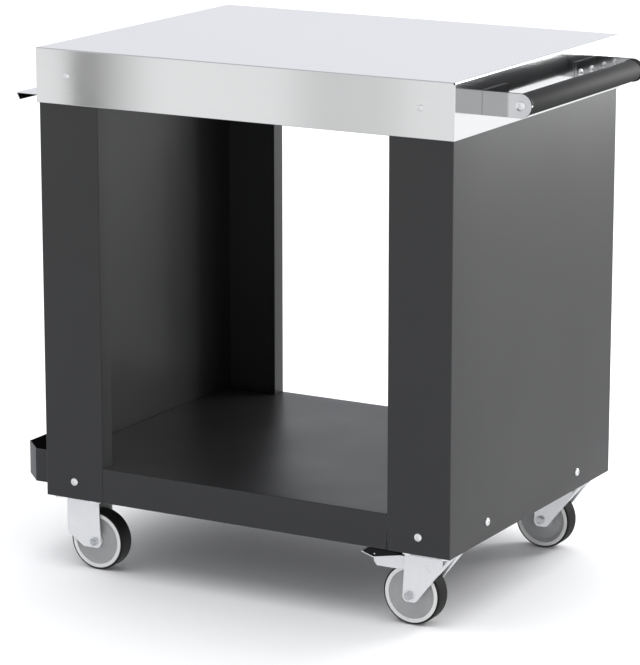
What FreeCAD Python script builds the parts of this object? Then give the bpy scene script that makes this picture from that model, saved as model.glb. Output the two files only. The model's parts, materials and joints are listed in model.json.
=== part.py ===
"""Wheeled steel table for an outdoor pizza oven.

A polished worktop tray stands on two folded side panels, with a shelf between their feet.
Two steel pans under the shelf carry four swivel casters, of which the right ones have brakes.
A tube handle is bolted to the right side, a tool rack and a tool pocket to the left side.

+X runs to the handle, +Y to the rear, +Z up.  The origin is on the floor, under the middle.
"""

import FreeCAD, Part
import os
import re
import math
import Sketcher
from FreeCAD import Placement, Rotation, Vector

doc = FreeCAD.newDocument("OvenTable")

# Places closer than this are taken as the same.
TOUCH = 1e-3

# A sketch starts as a rough round of lines of this radius, before its places are set.
ROUGH = 50.0

# Driving sizes, in millimetres and degrees.
SIZES = {
    # Worktop tray
    "top_length": 760.0,
    "top_width": 600.0,
    "top_sheet": 1.5,
    "apron_height": 90.0,
    "hem_height": 12.0,
    "hem_bend": 1.2,
    "top_bend": 2.2,
    "corner_bend": 1.6,
    "relief_radius": 1.9,
    "hem_gap": 0.3,
    # Body
    "caster_height": 125.0,
    "body_height": 750.0,
    "panel_sheet": 2.0,
    "column_width": 111.0,
    "lip_depth": 30.0,
    "top_flange": 25.0,
    "sheet_gap": 0.2,
    # Lower shelf
    "shelf_height": 59.0,
    "shelf_return": 20.0,
    "shelf_seam": 1.0,
    "ear_drop": 48.0,
    # Stiffening ribs
    "rib_sheet": 1.5,
    "rib_depth": 25.0,
    "rib_crown": 46.0,
    "rib_flange": 18.0,
    "rib_offset": 150.0,
    # Caster pans
    "pan_sheet": 3.0,
    # Screws through the sheets
    "screw_drop": 43.0,
    "foot_screw_rise": 29.0,
    "side_screw_pitch": 334.0,
    "small_head": 10.5,
    "small_head_rise": 2.8,
    "small_shank": 5.0,
    "body_head": 13.5,
    "body_head_rise": 3.4,
    "body_shank": 6.0,
    "shank_gap": 0.25,
    "head_rim": 0.3,
    "head_shoulder": 0.84,
    "head_shoulder_rise": 0.72,
    "head_crown": 0.56,
    "small_length": 14.0,
    "small_nut": 8.0,
    "small_nut_height": 4.0,
    "body_length": 18.0,
    "body_nut": 10.0,
    "body_nut_height": 5.0,
    # Handle
    "handle_height": 38.0,
    "handle_reach": 65.0,
    "arm_sheet": 4.0,
    "arm_spread": 417.0,
    "arm_flange": 85.0,
    "arm_screw_first": 27.5,
    "arm_screw_second": 70.5,
    "tube_diameter": 35.0,
    "tube_wall": 1.5,
    "plug_collar": 4.0,
    "plug_depth": 22.0,
    "handle_head": 16.0,
    "handle_head_rise": 4.4,
    "handle_shank": 8.0,
    "handle_bolt_length": 28.0,
    "collar_step": 0.5,
    # Tool rack
    "rack_reach": 84.0,
    "rack_length": 470.0,
    "rack_sheet": 1.5,
    "rack_upstand": 62.0,
    "rack_lip_drop": 10.2,
    "rack_lip_tuck": 6.8,
    "rack_slot_pitch": 135.0,
    "rack_slot_width": 26.0,
    "rack_slot_length": 52.0,
    "rack_screw_pitch": 190.0,
    # Tool pocket
    "pocket_reach": 78.0,
    "pocket_length": 538.0,
    "pocket_sheet": 1.5,
    "pocket_height": 56.0,
    "pocket_rise": 11.0,
    "pocket_chamfer": 37.0,
    "pocket_flange": 26.0,
    # Caster places
    "caster_side_inset": 48.7,
    "caster_recess": 3.0,
    "front_caster_inset": 41.0,
    "rear_caster_inset": 76.0,
    "caster_trail": 32.0,
    # Caster top plate and race
    "plate_length": 92.0,
    "plate_width": 76.0,
    "plate_sheet": 3.0,
    "plate_corner": 8.0,
    "plate_pitch_x": 66.0,
    "plate_pitch_y": 54.0,
    "plate_shank": 8.0,
    "race_radius": 21.0,
    "race_drop": 6.7,
    "race_slope": 2.0,
    "race_gap": 0.3,
    "kingpin_radius": 6.5,
    "kingpin_head": 11.0,
    "kingpin_head_rise": 3.3,
    # Caster forks
    "fork_sheet": 3.0,
    "fork_inside": 38.0,
    "fork_front": 40.0,
    "fork_brow": 27.0,
    "fork_back": 8.0,
    "foot_back": 12.5,
    "foot_ahead": 11.0,
    "foot_below": 11.0,
    "foot_rounding": 9.0,
    "tongue_half": 12.0,
    "arch_top_half": 5.0,
    "arch_drop": 48.0,
    "front_panel_part": 0.84,
    "shell_corner": 12.0,
    "shell_foot_ahead": 22.0,
    "shell_front_rise": 25.0,
    # Wheel
    "wheel_diameter": 100.0,
    "wheel_width": 32.0,
    "tread_shoulder": 2.5,
    "shoulder_round": 0.75,
    "tyre_depth": 6.0,
    "rim_lip_rise": 2.8,
    "rim_lip_width": 2.0,
    "rim_flat": 6.6,
    "rim_chamfer": 0.8,
    "boss_radius": 11.0,
    "web_thickness": 8.0,
    "cover_sheet": 2.0,
    "cover_dish": 5.0,
    "cover_rim": 2.0,
    "cover_collar": 3.0,
    "cover_flare": 6.5,
    "axle_radius": 4.0,
    "axle_gap": 0.05,
    "boss_gap": 0.3,
    "axle_head": 13.0,
    "axle_head_rise": 5.0,
    "axle_nut_height": 6.0,
    # Brake pedal, measured from the swivel axis and down from the top plate
    "pedal_sheet": 2.0,
    "pedal_gap": 1.0,
    "pedal_pin_radius": 3.0,
    "pedal_pin_ahead": 4.0,
    "pedal_pin_drop": 28.0,
    "pin_head_radius": 5.5,
    "pin_head_rise": 1.5,
    "lever_tip": 120.0,
    "lever_tip_drop": 18.0,
    "lever_knee": 98.0,
    "lever_knee_drop": 25.0,
    "lever_neck": 52.0,
    "lever_neck_drop": 16.0,
    "lever_end": 15.0,
    "lever_end_drop": 16.5,
    "ear_half": 6.0,
    "ear_flat": 2.0,
    "skirt_start": 60.0,
    "skirt_corner": 6.0,
    "lever_skirt_drop": 38.5,
    "shoe_length": 20.0,
    "shoe_half_width": 12.0,
    "shoe_gap": 3.5,
    "cap_half_width": 20.0,
    "cap_crown_drop": 10.0,
    "cap_setback": 4.0,
    "cap_fall": 2.0,
    "cap_crown_start": 6.0,
    "cap_crown_end": 10.0,
    "cap_nose": 2.3,
    "cap_rounding": 1.5,
    # Hexagonal bolts of the caster plates
    "plate_head": 13.0,
    "plate_head_rise": 5.3,
    "plate_nut_height": 6.5,
    "plate_bolt_length": 16.0,
    "thread_gap": 0.02,
    # How far a cutting shape reaches past the face that it cuts
    "past": 1.0,
}

# Sizes that follow from the driving ones.
DERIVED = {
    "work_height": "caster_height + body_height",
    "apron_foot": "work_height - apron_height",
    "body_half_x": "top_length / 2 - 2 * top_sheet - hem_gap",
    "body_half_y": "top_width / 2 - 2 * top_sheet - hem_gap",
    "panel_top": "work_height - top_sheet",
    "column_inner": "body_half_x - column_width",
    "column_middle": "body_half_x - column_width / 2",
    "panel_inner_x": "body_half_x - panel_sheet",
    "panel_inner_y": "body_half_y - panel_sheet",
    "shelf_top": "caster_height + shelf_height",
    "ear_half_x": "panel_inner_x - sheet_gap",
    "ear_half_y": "body_half_y - lip_depth - shelf_seam",
    "pan_inner_x": "column_inner + panel_sheet + sheet_gap",
    "pan_outer_x": "ear_half_x - panel_sheet - sheet_gap",
    "pan_half_y": "panel_inner_y - sheet_gap",
    "pan_top": "shelf_top - panel_sheet - sheet_gap",
    "screw_height": "work_height - screw_drop",
    "foot_screw_height": "caster_height + foot_screw_rise",
    "arm_outer_y": "arm_spread / 2",
    "arm_inner_y": "arm_outer_y - arm_sheet",
    "tube_axis_x": "top_length / 2 + handle_reach",
    "tube_half": "arm_inner_y - plug_collar",
    "rack_outer_x": "top_length / 2 + rack_reach",
    "pocket_outer_x": "body_half_x + pocket_reach",
    "pocket_foot": "caster_height + pocket_rise",
    "seat_height": "caster_height + caster_recess",
    "swivel_x": "body_half_x - caster_side_inset",
    "axle_drop": "seat_height - wheel_diameter / 2",
    "crown_top": "0 - plate_sheet - race_drop - race_gap",
    "crown_under": "crown_top - fork_sheet",
    "fork_half": "fork_inside / 2 + fork_sheet",
    "fork_foot": "0 - axle_drop - foot_below",
    "foot_front_x": "foot_ahead - caster_trail",
    "slant_x": "fork_front - foot_front_x",
    "slant_z": "crown_top - fork_foot",
    "slant": "sqrt(slant_x * slant_x + slant_z * slant_z)",
    "brow_z": "fork_foot + slant_z * (fork_brow - foot_front_x) / slant_x",
    "front_panel_foot_x": "fork_front - slant_x * front_panel_part",
    "front_panel_foot_z": "crown_top - slant_z * front_panel_part",
    "tyre_radius": "wheel_diameter / 2",
    "rim_radius": "tyre_radius - tyre_depth",
    "lip_radius": "rim_radius + rim_lip_rise",
    "well_radius": "lip_radius - rim_flat",
    "pedal_half": "fork_inside / 2 - pedal_gap",
    "cap_tip": "lever_tip - cap_setback",
    "tip_slope": "(lever_knee_drop - lever_tip_drop) / (lever_tip - lever_knee)",
    "cap_tip_drop": "lever_tip_drop + tip_slope * cap_setback",
    "front_swivel_y": "0 - body_half_y + front_caster_inset",
    "rear_swivel_y": "body_half_y - rear_caster_inset",
}

sheet = doc.addObject("Spreadsheet::Sheet", "Sizes")
for row, (alias, size) in enumerate(SIZES.items(), start=1):
    sheet.set(f"A{row}", alias)
    sheet.set(f"B{row}", str(size))
    sheet.setAlias(f"B{row}", alias)
doc.recompute()


def spell(formula):
    """The formula with each size written as its place in the document."""
    def full(match):
        word = match.group()
        if word in SIZES:
            return "Sizes." + word
        if word in DERIVED:
            return "Derived." + word
        return word
    return re.sub(r"[a-z_]+", full, formula)


derived = doc.addObject("App::VarSet", "Derived")
for name, formula in DERIVED.items():
    derived.addProperty("App::PropertyFloat", name, "Derived")
    derived.setExpression(name, spell(formula))
    doc.recompute()


def number(name):
    """The present value of a driving or derived size."""
    if name in SIZES:
        return float(sheet.get(name))
    return float(getattr(derived, name))


def bind(item, formulas):
    """Tie properties of an object to formulas of the sizes."""
    for prop, formula in formulas.items():
        item.setExpression(prop, spell(formula))
    return item


# Building blocks

TURN = {
    "x": Rotation(Vector(0, 1, 0), 90),
    "y": Rotation(Vector(1, 0, 0), -90),
    "z": Rotation(),
}
PLANES = {
    "xy": (Rotation(), "z", Vector(0, 0, 1)),
    "xz": (Rotation(Vector(1, 0, 0), 90), "y", Vector(0, 1, 0)),
    "yz": (Rotation(Vector(1, 1, 1), 120), "x", Vector(1, 0, 0)),
}


def box(name, x, y, z):
    """A block between two formulas along each axis."""
    item = doc.addObject("Part::Box", name)
    return bind(item, {
        "Placement.Base.x": x[0],
        "Placement.Base.y": y[0],
        "Placement.Base.z": z[0],
        "Length": f"({x[1]}) - ({x[0]})",
        "Width": f"({y[1]}) - ({y[0]})",
        "Height": f"({z[1]}) - ({z[0]})",
    })


def rod(name, axis, start, radius, length):
    """A round bar from its start point along an axis."""
    item = doc.addObject("Part::Cylinder", name)
    item.Placement = Placement(Vector(), TURN[axis])
    return bind(item, {
        "Placement.Base.x": start[0],
        "Placement.Base.y": start[1],
        "Placement.Base.z": start[2],
        "Radius": radius,
        "Height": length,
    })


def hexagon(name, axis, start, across_flats, length):
    """A hexagonal bar from its start point along an axis."""
    item = doc.addObject("Part::Prism", name)
    item.Polygon = 6
    item.Placement = Placement(Vector(), TURN[axis])
    return bind(item, {
        "Placement.Base.x": start[0],
        "Placement.Base.y": start[1],
        "Placement.Base.z": start[2],
        "Circumradius": f"({across_flats}) / sqrt(3)",
        "Height": length,
    })


def group(name, pieces):
    """Several shapes kept side by side."""
    item = doc.addObject("Part::Compound", name)
    item.Links = pieces
    return item


def join(name, pieces):
    """One solid out of touching pieces."""
    item = doc.addObject("Part::MultiFuse", name)
    item.Shapes = pieces
    item.Refine = True
    return item


def cut(name, base, tools):
    """A base with the tools taken away."""
    item = doc.addObject("Part::Cut", name)
    item.Base = base
    item.Tool = tools[0] if len(tools) == 1 else group(name + "_tools", tools)
    item.Refine = True
    return item


def overlap(name, first, second):
    """What two shapes have in common."""
    item = doc.addObject("Part::Common", name)
    item.Base = first
    item.Tool = second
    item.Refine = True
    return item


def draw(sketch, points, closed):
    """Straight lines through points that are given as pairs of formulas."""
    count = len(points)
    lines = count if closed else count - 1
    rough = [Vector(math.cos(math.tau * i / count), math.sin(math.tau * i / count), 0) * ROUGH
             for i in range(count)]
    sketch.addGeometry([Part.LineSegment(rough[i], rough[(i + 1) % count]) for i in range(lines)])
    links = [Sketcher.Constraint("Coincident", i, 2, (i + 1) % count, 1)
             for i in range(lines if closed else lines - 1)]
    ends = [(i, 1) for i in range(lines)]
    if not closed:
        ends.append((lines - 1, 2))
    places = []
    for line, end in ends:
        places.append(Sketcher.Constraint("DistanceX", -1, 1, line, end, 1.0))
        places.append(Sketcher.Constraint("DistanceY", -1, 1, line, end, 1.0))
    sketch.addConstraint(links + places)
    for index, (across, up) in enumerate(points):
        first = len(links) + 2 * index
        bind(sketch, {f"Constraints[{first}]": across, f"Constraints[{first + 1}]": up})
    return sketch


def outline(name, plane, points, at="0", closed=True):
    """A free-standing sketch on a plane that stands at a place along its own axis."""
    turn, axis, _ = PLANES[plane]
    sketch = doc.addObject("Sketcher::SketchObject", name)
    sketch.Placement = Placement(Vector(), turn)
    bind(sketch, {f"Placement.Base.{axis}": at})
    return draw(sketch, points, closed)


def extrude(name, face, plane, span):
    """A flat shape drawn out along the axis of its plane."""
    item = doc.addObject("Part::Extrusion", name)
    item.Base = face
    item.DirMode = "Custom"
    item.Dir = PLANES[plane][2]
    item.Solid = True
    return bind(item, {"LengthFwd": f"({span[1]}) - ({span[0]})"})


def slab(name, plane, points, span):
    """A solid with a drawn outline, between two places along the axis of its plane."""
    face = outline(name + "_outline", plane, points, span[0])
    return extrude(name, face, plane, span)


def folded(name, plane, points, gauge, span):
    """Sheet folded along a path.  The gauge lies outside the path, with rounded bends."""
    path = outline(name + "_path", plane, points, span[0], closed=False)
    band = doc.addObject("Part::Offset2D", name + "_section")
    band.Source = path
    band.Mode = "Skin"
    band.Join = "Arc"
    band.Fill = True
    bind(band, {"Value": gauge})
    doc.recompute()
    if band.Shape.BoundBox.DiagonalLength < path.Shape.BoundBox.DiagonalLength + TOUCH:
        bind(band, {"Value": f"0 - ({gauge})"})
    return extrude(name, band, plane, span)


def body(name):
    """An empty solid that grows feature by feature."""
    return doc.addObject("PartDesign::Body", name)


def sketch_in(owner, name, plane, points, lift=None):
    """A closed sketch on one of the body's own planes."""
    role = {"xy": "XY_Plane", "xz": "XZ_Plane", "yz": "YZ_Plane"}[plane]
    support = [item for item in owner.Origin.OriginFeatures if item.Role == role][0]
    sketch = owner.newObject("Sketcher::SketchObject", name)
    sketch.AttachmentSupport = [(support, "")]
    sketch.MapMode = "FlatFace"
    if lift:
        bind(sketch, {"AttachmentOffset.Base.z": lift})
    draw(sketch, points, True)
    doc.recompute()
    return sketch


def pad(owner, sketch, length, both_ways=False, backwards=False):
    """Add the drawn outline as a solid."""
    item = owner.newObject("PartDesign::Pad", sketch.Name + "_pad")
    item.Profile = sketch
    item.SideType = "Symmetric" if both_ways else "One side"
    item.Reversed = backwards
    bind(item, {"Length": length})
    doc.recompute()
    return item


def pocket(owner, sketch, length, both_ways=False, backwards=False):
    """Take the drawn outline away, and make sure that it removed something."""
    before = owner.Shape.Volume
    item = owner.newObject("PartDesign::Pocket", sketch.Name + "_pocket")
    item.Profile = sketch
    item.SideType = "Symmetric" if both_ways else "One side"
    item.Reversed = backwards
    bind(item, {"Length": length})
    doc.recompute()
    if owner.Shape.Volume > before - TOUCH:
        raise RuntimeError(f"{item.Name} cuts nothing")
    return item


def spin(owner, sketch):
    """Add a full turn of the outline about the upright axis of its sketch."""
    item = owner.newObject("PartDesign::Revolution", sketch.Name + "_turned")
    item.Profile = sketch
    item.ReferenceAxis = (sketch, ["V_Axis"])
    item.Angle = 360
    doc.recompute()
    return item


def soften(owner, radius, chosen):
    """Round the edges of the body that the test picks."""
    tip = owner.Tip
    edges = [f"Edge{i}" for i, edge in enumerate(tip.Shape.Edges, start=1) if chosen(edge)]
    item = owner.newObject("PartDesign::Fillet", f"{owner.Name}_rounding")
    item.Base = (tip, edges)
    bind(item, {"Radius": radius})
    doc.recompute()
    return item


def runs_along(edge, axis):
    """Whether a straight edge runs along an axis."""
    if not isinstance(edge.Curve, Part.Line):
        return False
    way = {"x": Vector(1, 0, 0), "y": Vector(0, 1, 0), "z": Vector(0, 0, 1)}[axis]
    return abs(abs(edge.Curve.Direction.dot(way)) - 1) < TOUCH


def span_across(start, end, half_y):
    """Corner formulas of a rectangle from start to end along x, and to both sides."""
    return [
        (start, f"0 - ({half_y})"),
        (end, f"0 - ({half_y})"),
        (end, half_y),
        (start, half_y),
    ]


def rectangle(half_x, half_y):
    """Corner formulas of a rectangle about the middle."""
    return span_across(f"0 - ({half_x})", half_x, half_y)


NODES = {}


def node(label, item):
    """Name a finished sub-part."""
    item.Label = label
    NODES[label] = item
    return item


def both(*values):
    """Each value with a minus and a plus sign, as formulas."""
    return [f"0 - ({value})" for value in values] + list(values)


# Screws and nuts

def screw(name, head, rise, shank, length):
    """A button-head screw along +Z, with its seat at zero and its shank below."""
    item = body(name)
    profile = sketch_in(item, name + "_profile", "xz", [
        ("0", f"0 - ({length})"),
        (f"{shank} / 2", f"0 - ({length})"),
        (f"{shank} / 2", "0"),
        (f"{head} / 2", "0"),
        (f"{head} / 2", f"{rise} * head_rim"),
        (f"{head} / 2 * head_shoulder", f"{rise} * head_shoulder_rise"),
        (f"{head} / 2 * head_crown", rise),
        ("0", rise),
    ])
    spin(item, profile)
    return item


def nut(name, across_flats, height, bore):
    """A hexagonal nut along +Z."""
    blank = hexagon(name + "_blank", "z", ("0", "0", "0"), across_flats, height)
    hole = rod(name + "_bore", "z", ("0", "0", "0 - past"), bore, f"({height}) + 2 * past")
    return cut(name, blank, [hole])


FACING = {
    "front": Rotation(Vector(0, 0, 1), Vector(0, -1, 0)),
    "rear": Rotation(Vector(0, 0, 1), Vector(0, 1, 0)),
    "left": Rotation(Vector(0, 0, 1), Vector(-1, 0, 0)),
    "right": Rotation(Vector(0, 0, 1), Vector(1, 0, 0)),
    "up": Rotation(),
    "down": Rotation(Vector(1, 0, 0), 180),
}


def set_of(label, places):
    """One node with a copy of a master shape at each place and facing."""
    doc.recompute()
    item = doc.addObject("Part::Feature", label)
    copies = []
    for master, spot, facing in places:
        copy = master.Shape.copy()
        copy.Placement = Placement(Vector(*spot), FACING[facing]) * copy.Placement
        copies.append(copy)
    item.Shape = Part.makeCompound(copies)
    return node(label, item)


# Worktop tray: one sheet with four deep aprons that end in closed hems.

def make_worktop():
    tray = body("worktop_tray")
    bind(tray, {"Placement.Base.z": "apron_foot"})
    blank = sketch_in(tray, "tray_blank", "xy", rectangle("top_length / 2", "top_width / 2"))
    pad(tray, blank, "apron_height")
    top = number("apron_height")
    soften(tray, "corner_bend", lambda edge: runs_along(edge, "z"))
    soften(tray, "top_bend", lambda edge: edge.BoundBox.ZMin > top - TOUCH)
    soften(tray, "hem_bend", lambda edge: edge.BoundBox.ZMax < TOUCH)
    mouth = sketch_in(tray, "tray_mouth", "xy",
                      rectangle("top_length / 2 - 2 * top_sheet", "top_width / 2 - 2 * top_sheet"))
    pocket(tray, mouth, "apron_height - top_sheet", backwards=True)
    hollow = sketch_in(tray, "tray_hollow", "xy",
                       rectangle("top_length / 2 - top_sheet", "top_width / 2 - top_sheet"),
                       "hem_height")
    pocket(tray, hollow, "apron_height - top_sheet - hem_height", backwards=True)
    reliefs = []
    for x in both("top_length / 2 - corner_bend"):
        for y in both("top_width / 2 - corner_bend"):
            ball = doc.addObject("Part::Sphere", "corner_relief")
            bind(ball, {
                "Placement.Base.x": x,
                "Placement.Base.y": y,
                "Placement.Base.z": "work_height - top_bend",
                "Radius": "relief_radius",
            })
            reliefs.append(ball)
    small = "small_shank / 2 + shank_gap"
    arm = "body_shank / 2 + shank_gap"
    bores = []
    for x in both("column_middle"):
        bores.append(rod("apron_bore", "y", (x, "0 - top_width / 2 - past", "screw_height"),
                         small, "2 * top_sheet + 2 * past"))
        bores.append(rod("apron_bore", "y", (x, "top_width / 2 - 2 * top_sheet - past",
                                             "screw_height"), small, "2 * top_sheet + 2 * past"))
    for y in both("arm_outer_y - arm_screw_first", "arm_outer_y - arm_screw_second"):
        bores.append(rod("arm_bore", "x", ("top_length / 2 - 2 * top_sheet", y, "screw_height"),
                         arm, "2 * top_sheet + past"))
    for y in ("0 - rack_screw_pitch", "0", "rack_screw_pitch"):
        bores.append(rod("rack_bore", "x", ("0 - top_length / 2 - past", y, "screw_height"),
                         small, "2 * top_sheet + past"))
    node("worktop", cut("worktop_cut", tray, reliefs + bores))


def rib(label, y, top, half_length):
    """A hat-section rib that hangs under a sheet, from side to side."""
    half = "rib_crown / 2"
    foot = "rib_crown / 2 + rib_flange"
    drop = f"({top}) - rib_depth"
    under = f"({top}) - rib_sheet"
    left = folded(label + "_hat", "yz", [
        (f"({y}) - ({foot})", under),
        (f"({y}) - ({half})", under),
        (f"({y}) - ({half}) + rib_sheet", drop),
        (f"({y}) + ({half}) - rib_sheet", drop),
        (f"({y}) + ({half})", under),
        (f"({y}) + ({foot})", under),
    ], "0 - rib_sheet", (f"0 - ({half_length})", half_length))
    return node(label, left)


# Side panels: each one sheet, folded round into a front and a rear column with lips.

def make_side_panel(label, side):
    sign = "" if side > 0 else "0 - "
    inner = "panel_sheet"
    shell = folded(label + "_shell", "xy", [
        (f"{sign}(column_inner + {inner})", "0 - body_half_y + lip_depth"),
        (f"{sign}(column_inner + {inner})", f"0 - body_half_y + {inner}"),
        (f"{sign}(body_half_x - {inner})", f"0 - body_half_y + {inner}"),
        (f"{sign}(body_half_x - {inner})", f"body_half_y - {inner}"),
        (f"{sign}(column_inner + {inner})", f"body_half_y - {inner}"),
        (f"{sign}(column_inner + {inner})", "body_half_y - lip_depth"),
    ], "panel_sheet", ("caster_height", "panel_top"))
    near = f"{sign}(panel_inner_x)"
    far = f"{sign}(panel_inner_x - top_flange)"
    span = (far, near) if side > 0 else (near, far)
    flange = box(label + "_flange", span,
                 ("0 - body_half_y + lip_depth + shelf_seam", "body_half_y - lip_depth - shelf_seam"),
                 ("panel_top - panel_sheet", "panel_top"))
    small = "small_shank / 2 + shank_gap"
    large = "body_shank / 2 + shank_gap"
    bores = []
    for height, radius in (("screw_height", small), ("foot_screw_height", large)):
        for y in ("0 - body_half_y - past", "panel_inner_y - past"):
            bores.append(rod(label + "_bore", "y", (f"{sign}column_middle", y, height),
                             radius, "panel_sheet + 2 * past"))
    start = "panel_inner_x - past" if side > 0 else "0 - body_half_x - past"
    across = [(y, "foot_screw_height", large) for y in both("side_screw_pitch / 2")]
    if side > 0:
        across += [(y, "screw_height", large)
                   for y in both("arm_outer_y - arm_screw_first", "arm_outer_y - arm_screw_second")]
    else:
        across += [(y, "screw_height", small) for y in ("0 - rack_screw_pitch", "0", "rack_screw_pitch")]
        across += [(y, "pocket_foot + pocket_height / 2", large)
                   for y in both("pocket_length / 2 - pocket_flange / 2")]
    for y, height, radius in across:
        bores.append(rod(label + "_bore", "x", (start, y, height), radius, "panel_sheet + 2 * past"))
    node(label, cut(label + "_cut", join(label + "_blank", [shell, flange]), bores))


# Lower shelf: a tray with a front and a rear apron, and ears that reach behind the columns.

def make_shelf():
    under = "shelf_top - panel_sheet"
    inner = "body_half_y - panel_sheet"
    middle = folded("shelf_middle", "yz", [
        (f"0 - ({inner}) + shelf_return", "caster_height + panel_sheet"),
        (f"0 - ({inner})", "caster_height + panel_sheet"),
        (f"0 - ({inner})", under),
        (inner, under),
        (inner, "caster_height + panel_sheet"),
        (f"{inner} - shelf_return", "caster_height + panel_sheet"),
    ], "panel_sheet", ("0 - column_inner + shelf_seam", "column_inner - shelf_seam"))
    side = "ear_half_x - panel_sheet"
    ears = folded("shelf_ears", "xz", [
        (f"0 - ({side})", "shelf_top - ear_drop"),
        (f"0 - ({side})", under),
        (side, under),
        (side, "shelf_top - ear_drop"),
    ], "panel_sheet", ("0 - ear_half_y", "ear_half_y"))
    large = "body_shank / 2 + shank_gap"
    bores = []
    for x in ("0 - ear_half_x - past", "ear_half_x - panel_sheet - past"):
        for y in both("side_screw_pitch / 2"):
            bores.append(rod("ear_bore", "x", (x, y, "foot_screw_height"), large, "panel_sheet + 2 * past"))
    for y in both("pocket_length / 2 - pocket_flange / 2"):
        bores.append(rod("ear_bore", "x", ("0 - ear_half_x - past", y, "pocket_foot + pocket_height / 2"),
                         large, "panel_sheet + 2 * past"))
    node("lower_shelf", cut("shelf_cut", join("shelf_blank", [middle, ears]), bores))


# Caster pans: deep channels along the foot of each side panel.

def make_pan(label, side):
    sign = "" if side > 0 else "0 - "
    low = "seat_height"
    floor = "seat_height + pan_sheet"
    rim = "pan_top"
    ends = ("0 - pan_half_y", "pan_half_y")
    channel = folded(label + "_channel", "xz", [
        (f"{sign}(pan_inner_x + pan_sheet)", rim),
        (f"{sign}(pan_inner_x + pan_sheet)", floor),
        (f"{sign}(pan_outer_x - pan_sheet)", floor),
        (f"{sign}(pan_outer_x - pan_sheet)", rim),
    ], "pan_sheet", ends)
    across = (f"{sign}(pan_inner_x + pan_sheet)", f"{sign}(pan_outer_x - pan_sheet)")
    if side < 0:
        across = across[::-1]
    walls = [
        box(label + "_end", across, ("0 - pan_half_y", "0 - pan_half_y + pan_sheet"), (low, rim)),
        box(label + "_end", across, ("pan_half_y - pan_sheet", "pan_half_y"), (low, rim)),
    ]
    large = "body_shank / 2 + shank_gap"
    bolt = "plate_shank / 2 + shank_gap"
    bores = []
    for y in ("0 - pan_half_y - past", "pan_half_y - pan_sheet - past"):
        bores.append(rod(label + "_bore", "y", (f"{sign}column_middle", y, "foot_screw_height"),
                         large, "pan_sheet + 2 * past"))
    start = "pan_outer_x - pan_sheet - past" if side > 0 else "0 - pan_outer_x - past"
    heights = [(y, "foot_screw_height") for y in both("side_screw_pitch / 2")]
    if side < 0:
        pocket_heights = [(y, "pocket_foot + pocket_height / 2")
                          for y in both("pocket_length / 2 - pocket_flange / 2")]
        heights += pocket_heights
        # The end walls are relieved where a nut of the pocket comes close to them.
        for y, height in pocket_heights:
            bores.append(rod(label + "_relief", "x", ("0 - pan_outer_x + pan_sheet", y, height),
                             "body_nut / sqrt(3) + shank_gap", "body_length"))
    for y, height in heights:
        bores.append(rod(label + "_bore", "x", (start, y, height), large, "pan_sheet + 2 * past"))
    for y in ("front_swivel_y", "rear_swivel_y"):
        for along in both("plate_pitch_x / 2"):
            for away in both("plate_pitch_y / 2"):
                bores.append(rod(label + "_bore", "z", (f"{sign}swivel_x + ({along})",
                                                        f"{y} + ({away})", "seat_height - past"),
                                 bolt, "pan_sheet + 2 * past"))
    node(label, cut(label + "_cut", join(label + "_blank", [channel] + walls), bores))


# Handle: two flanged arms, a tube between them and a plug in each end of the tube.

def make_handle():
    low = "screw_height - handle_height / 2"
    face = "top_length / 2"
    for label, sign, span in (("handle_arm_front", "0 - ", ("0 - arm_outer_y", "0 - arm_inner_y")),
                              ("handle_arm_rear", "", ("arm_inner_y", "arm_outer_y"))):
        arm = box(label + "_blade", (face, "tube_axis_x"), span, (low, "screw_height + handle_height / 2"))
        start = (span[0] if sign else "arm_inner_y")
        end = rod(label + "_end", "y", ("tube_axis_x", start, "screw_height"), "handle_height / 2",
                  "arm_sheet")
        reach = ("0 - arm_outer_y", "0 - arm_outer_y + arm_flange") if sign else (
            "arm_outer_y - arm_flange", "arm_outer_y")
        foot = box(label + "_foot", (face, "top_length / 2 + arm_sheet"), reach,
                   (low, "screw_height + handle_height / 2"))
        bores = [rod(label + "_bore", "y", ("tube_axis_x", f"({start}) - past", "screw_height"),
                     "handle_shank / 2 + shank_gap", "arm_sheet + 2 * past")]
        for step in ("arm_screw_first", "arm_screw_second"):
            bores.append(rod(label + "_bore", "x", ("top_length / 2 - past",
                                                    f"{sign}(arm_outer_y - {step})", "screw_height"),
                             "body_shank / 2 + shank_gap", "arm_sheet + 2 * past"))
        node(label, cut(label + "_cut", join(label + "_blank", [arm, end, foot]), bores))
    outer = rod("tube_outer", "y", ("tube_axis_x", "0 - tube_half", "screw_height"),
                "tube_diameter / 2", "2 * tube_half")
    inner = rod("tube_inner", "y", ("tube_axis_x", "0 - tube_half - past", "screw_height"),
                "tube_diameter / 2 - tube_wall", "2 * tube_half + 2 * past")
    node("handle_tube", cut("tube_cut", outer, [inner]))
    for label, collar, stem in (
            ("handle_plug_front", "0 - arm_inner_y", "0 - tube_half"),
            ("handle_plug_rear", "tube_half", "tube_half - plug_depth")):
        ring = rod(label + "_collar", "y", ("tube_axis_x", collar, "screw_height"),
                   "handle_height / 2 - collar_step", "plug_collar")
        core = rod(label + "_stem", "y", ("tube_axis_x", stem, "screw_height"),
                   "tube_diameter / 2 - tube_wall - sheet_gap", "plug_depth")
        thread = rod(label + "_thread", "y", ("tube_axis_x", f"({collar}) - plug_depth - past",
                                              "screw_height"),
                     "handle_shank / 2 + thread_gap", "2 * plug_depth + plug_collar + 2 * past")
        node(label, cut(label + "_cut", join(label + "_blank", [ring, core]), [thread]))


# Tool rack on the left apron: upstand, slotted shelf and a tucked lip.

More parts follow.
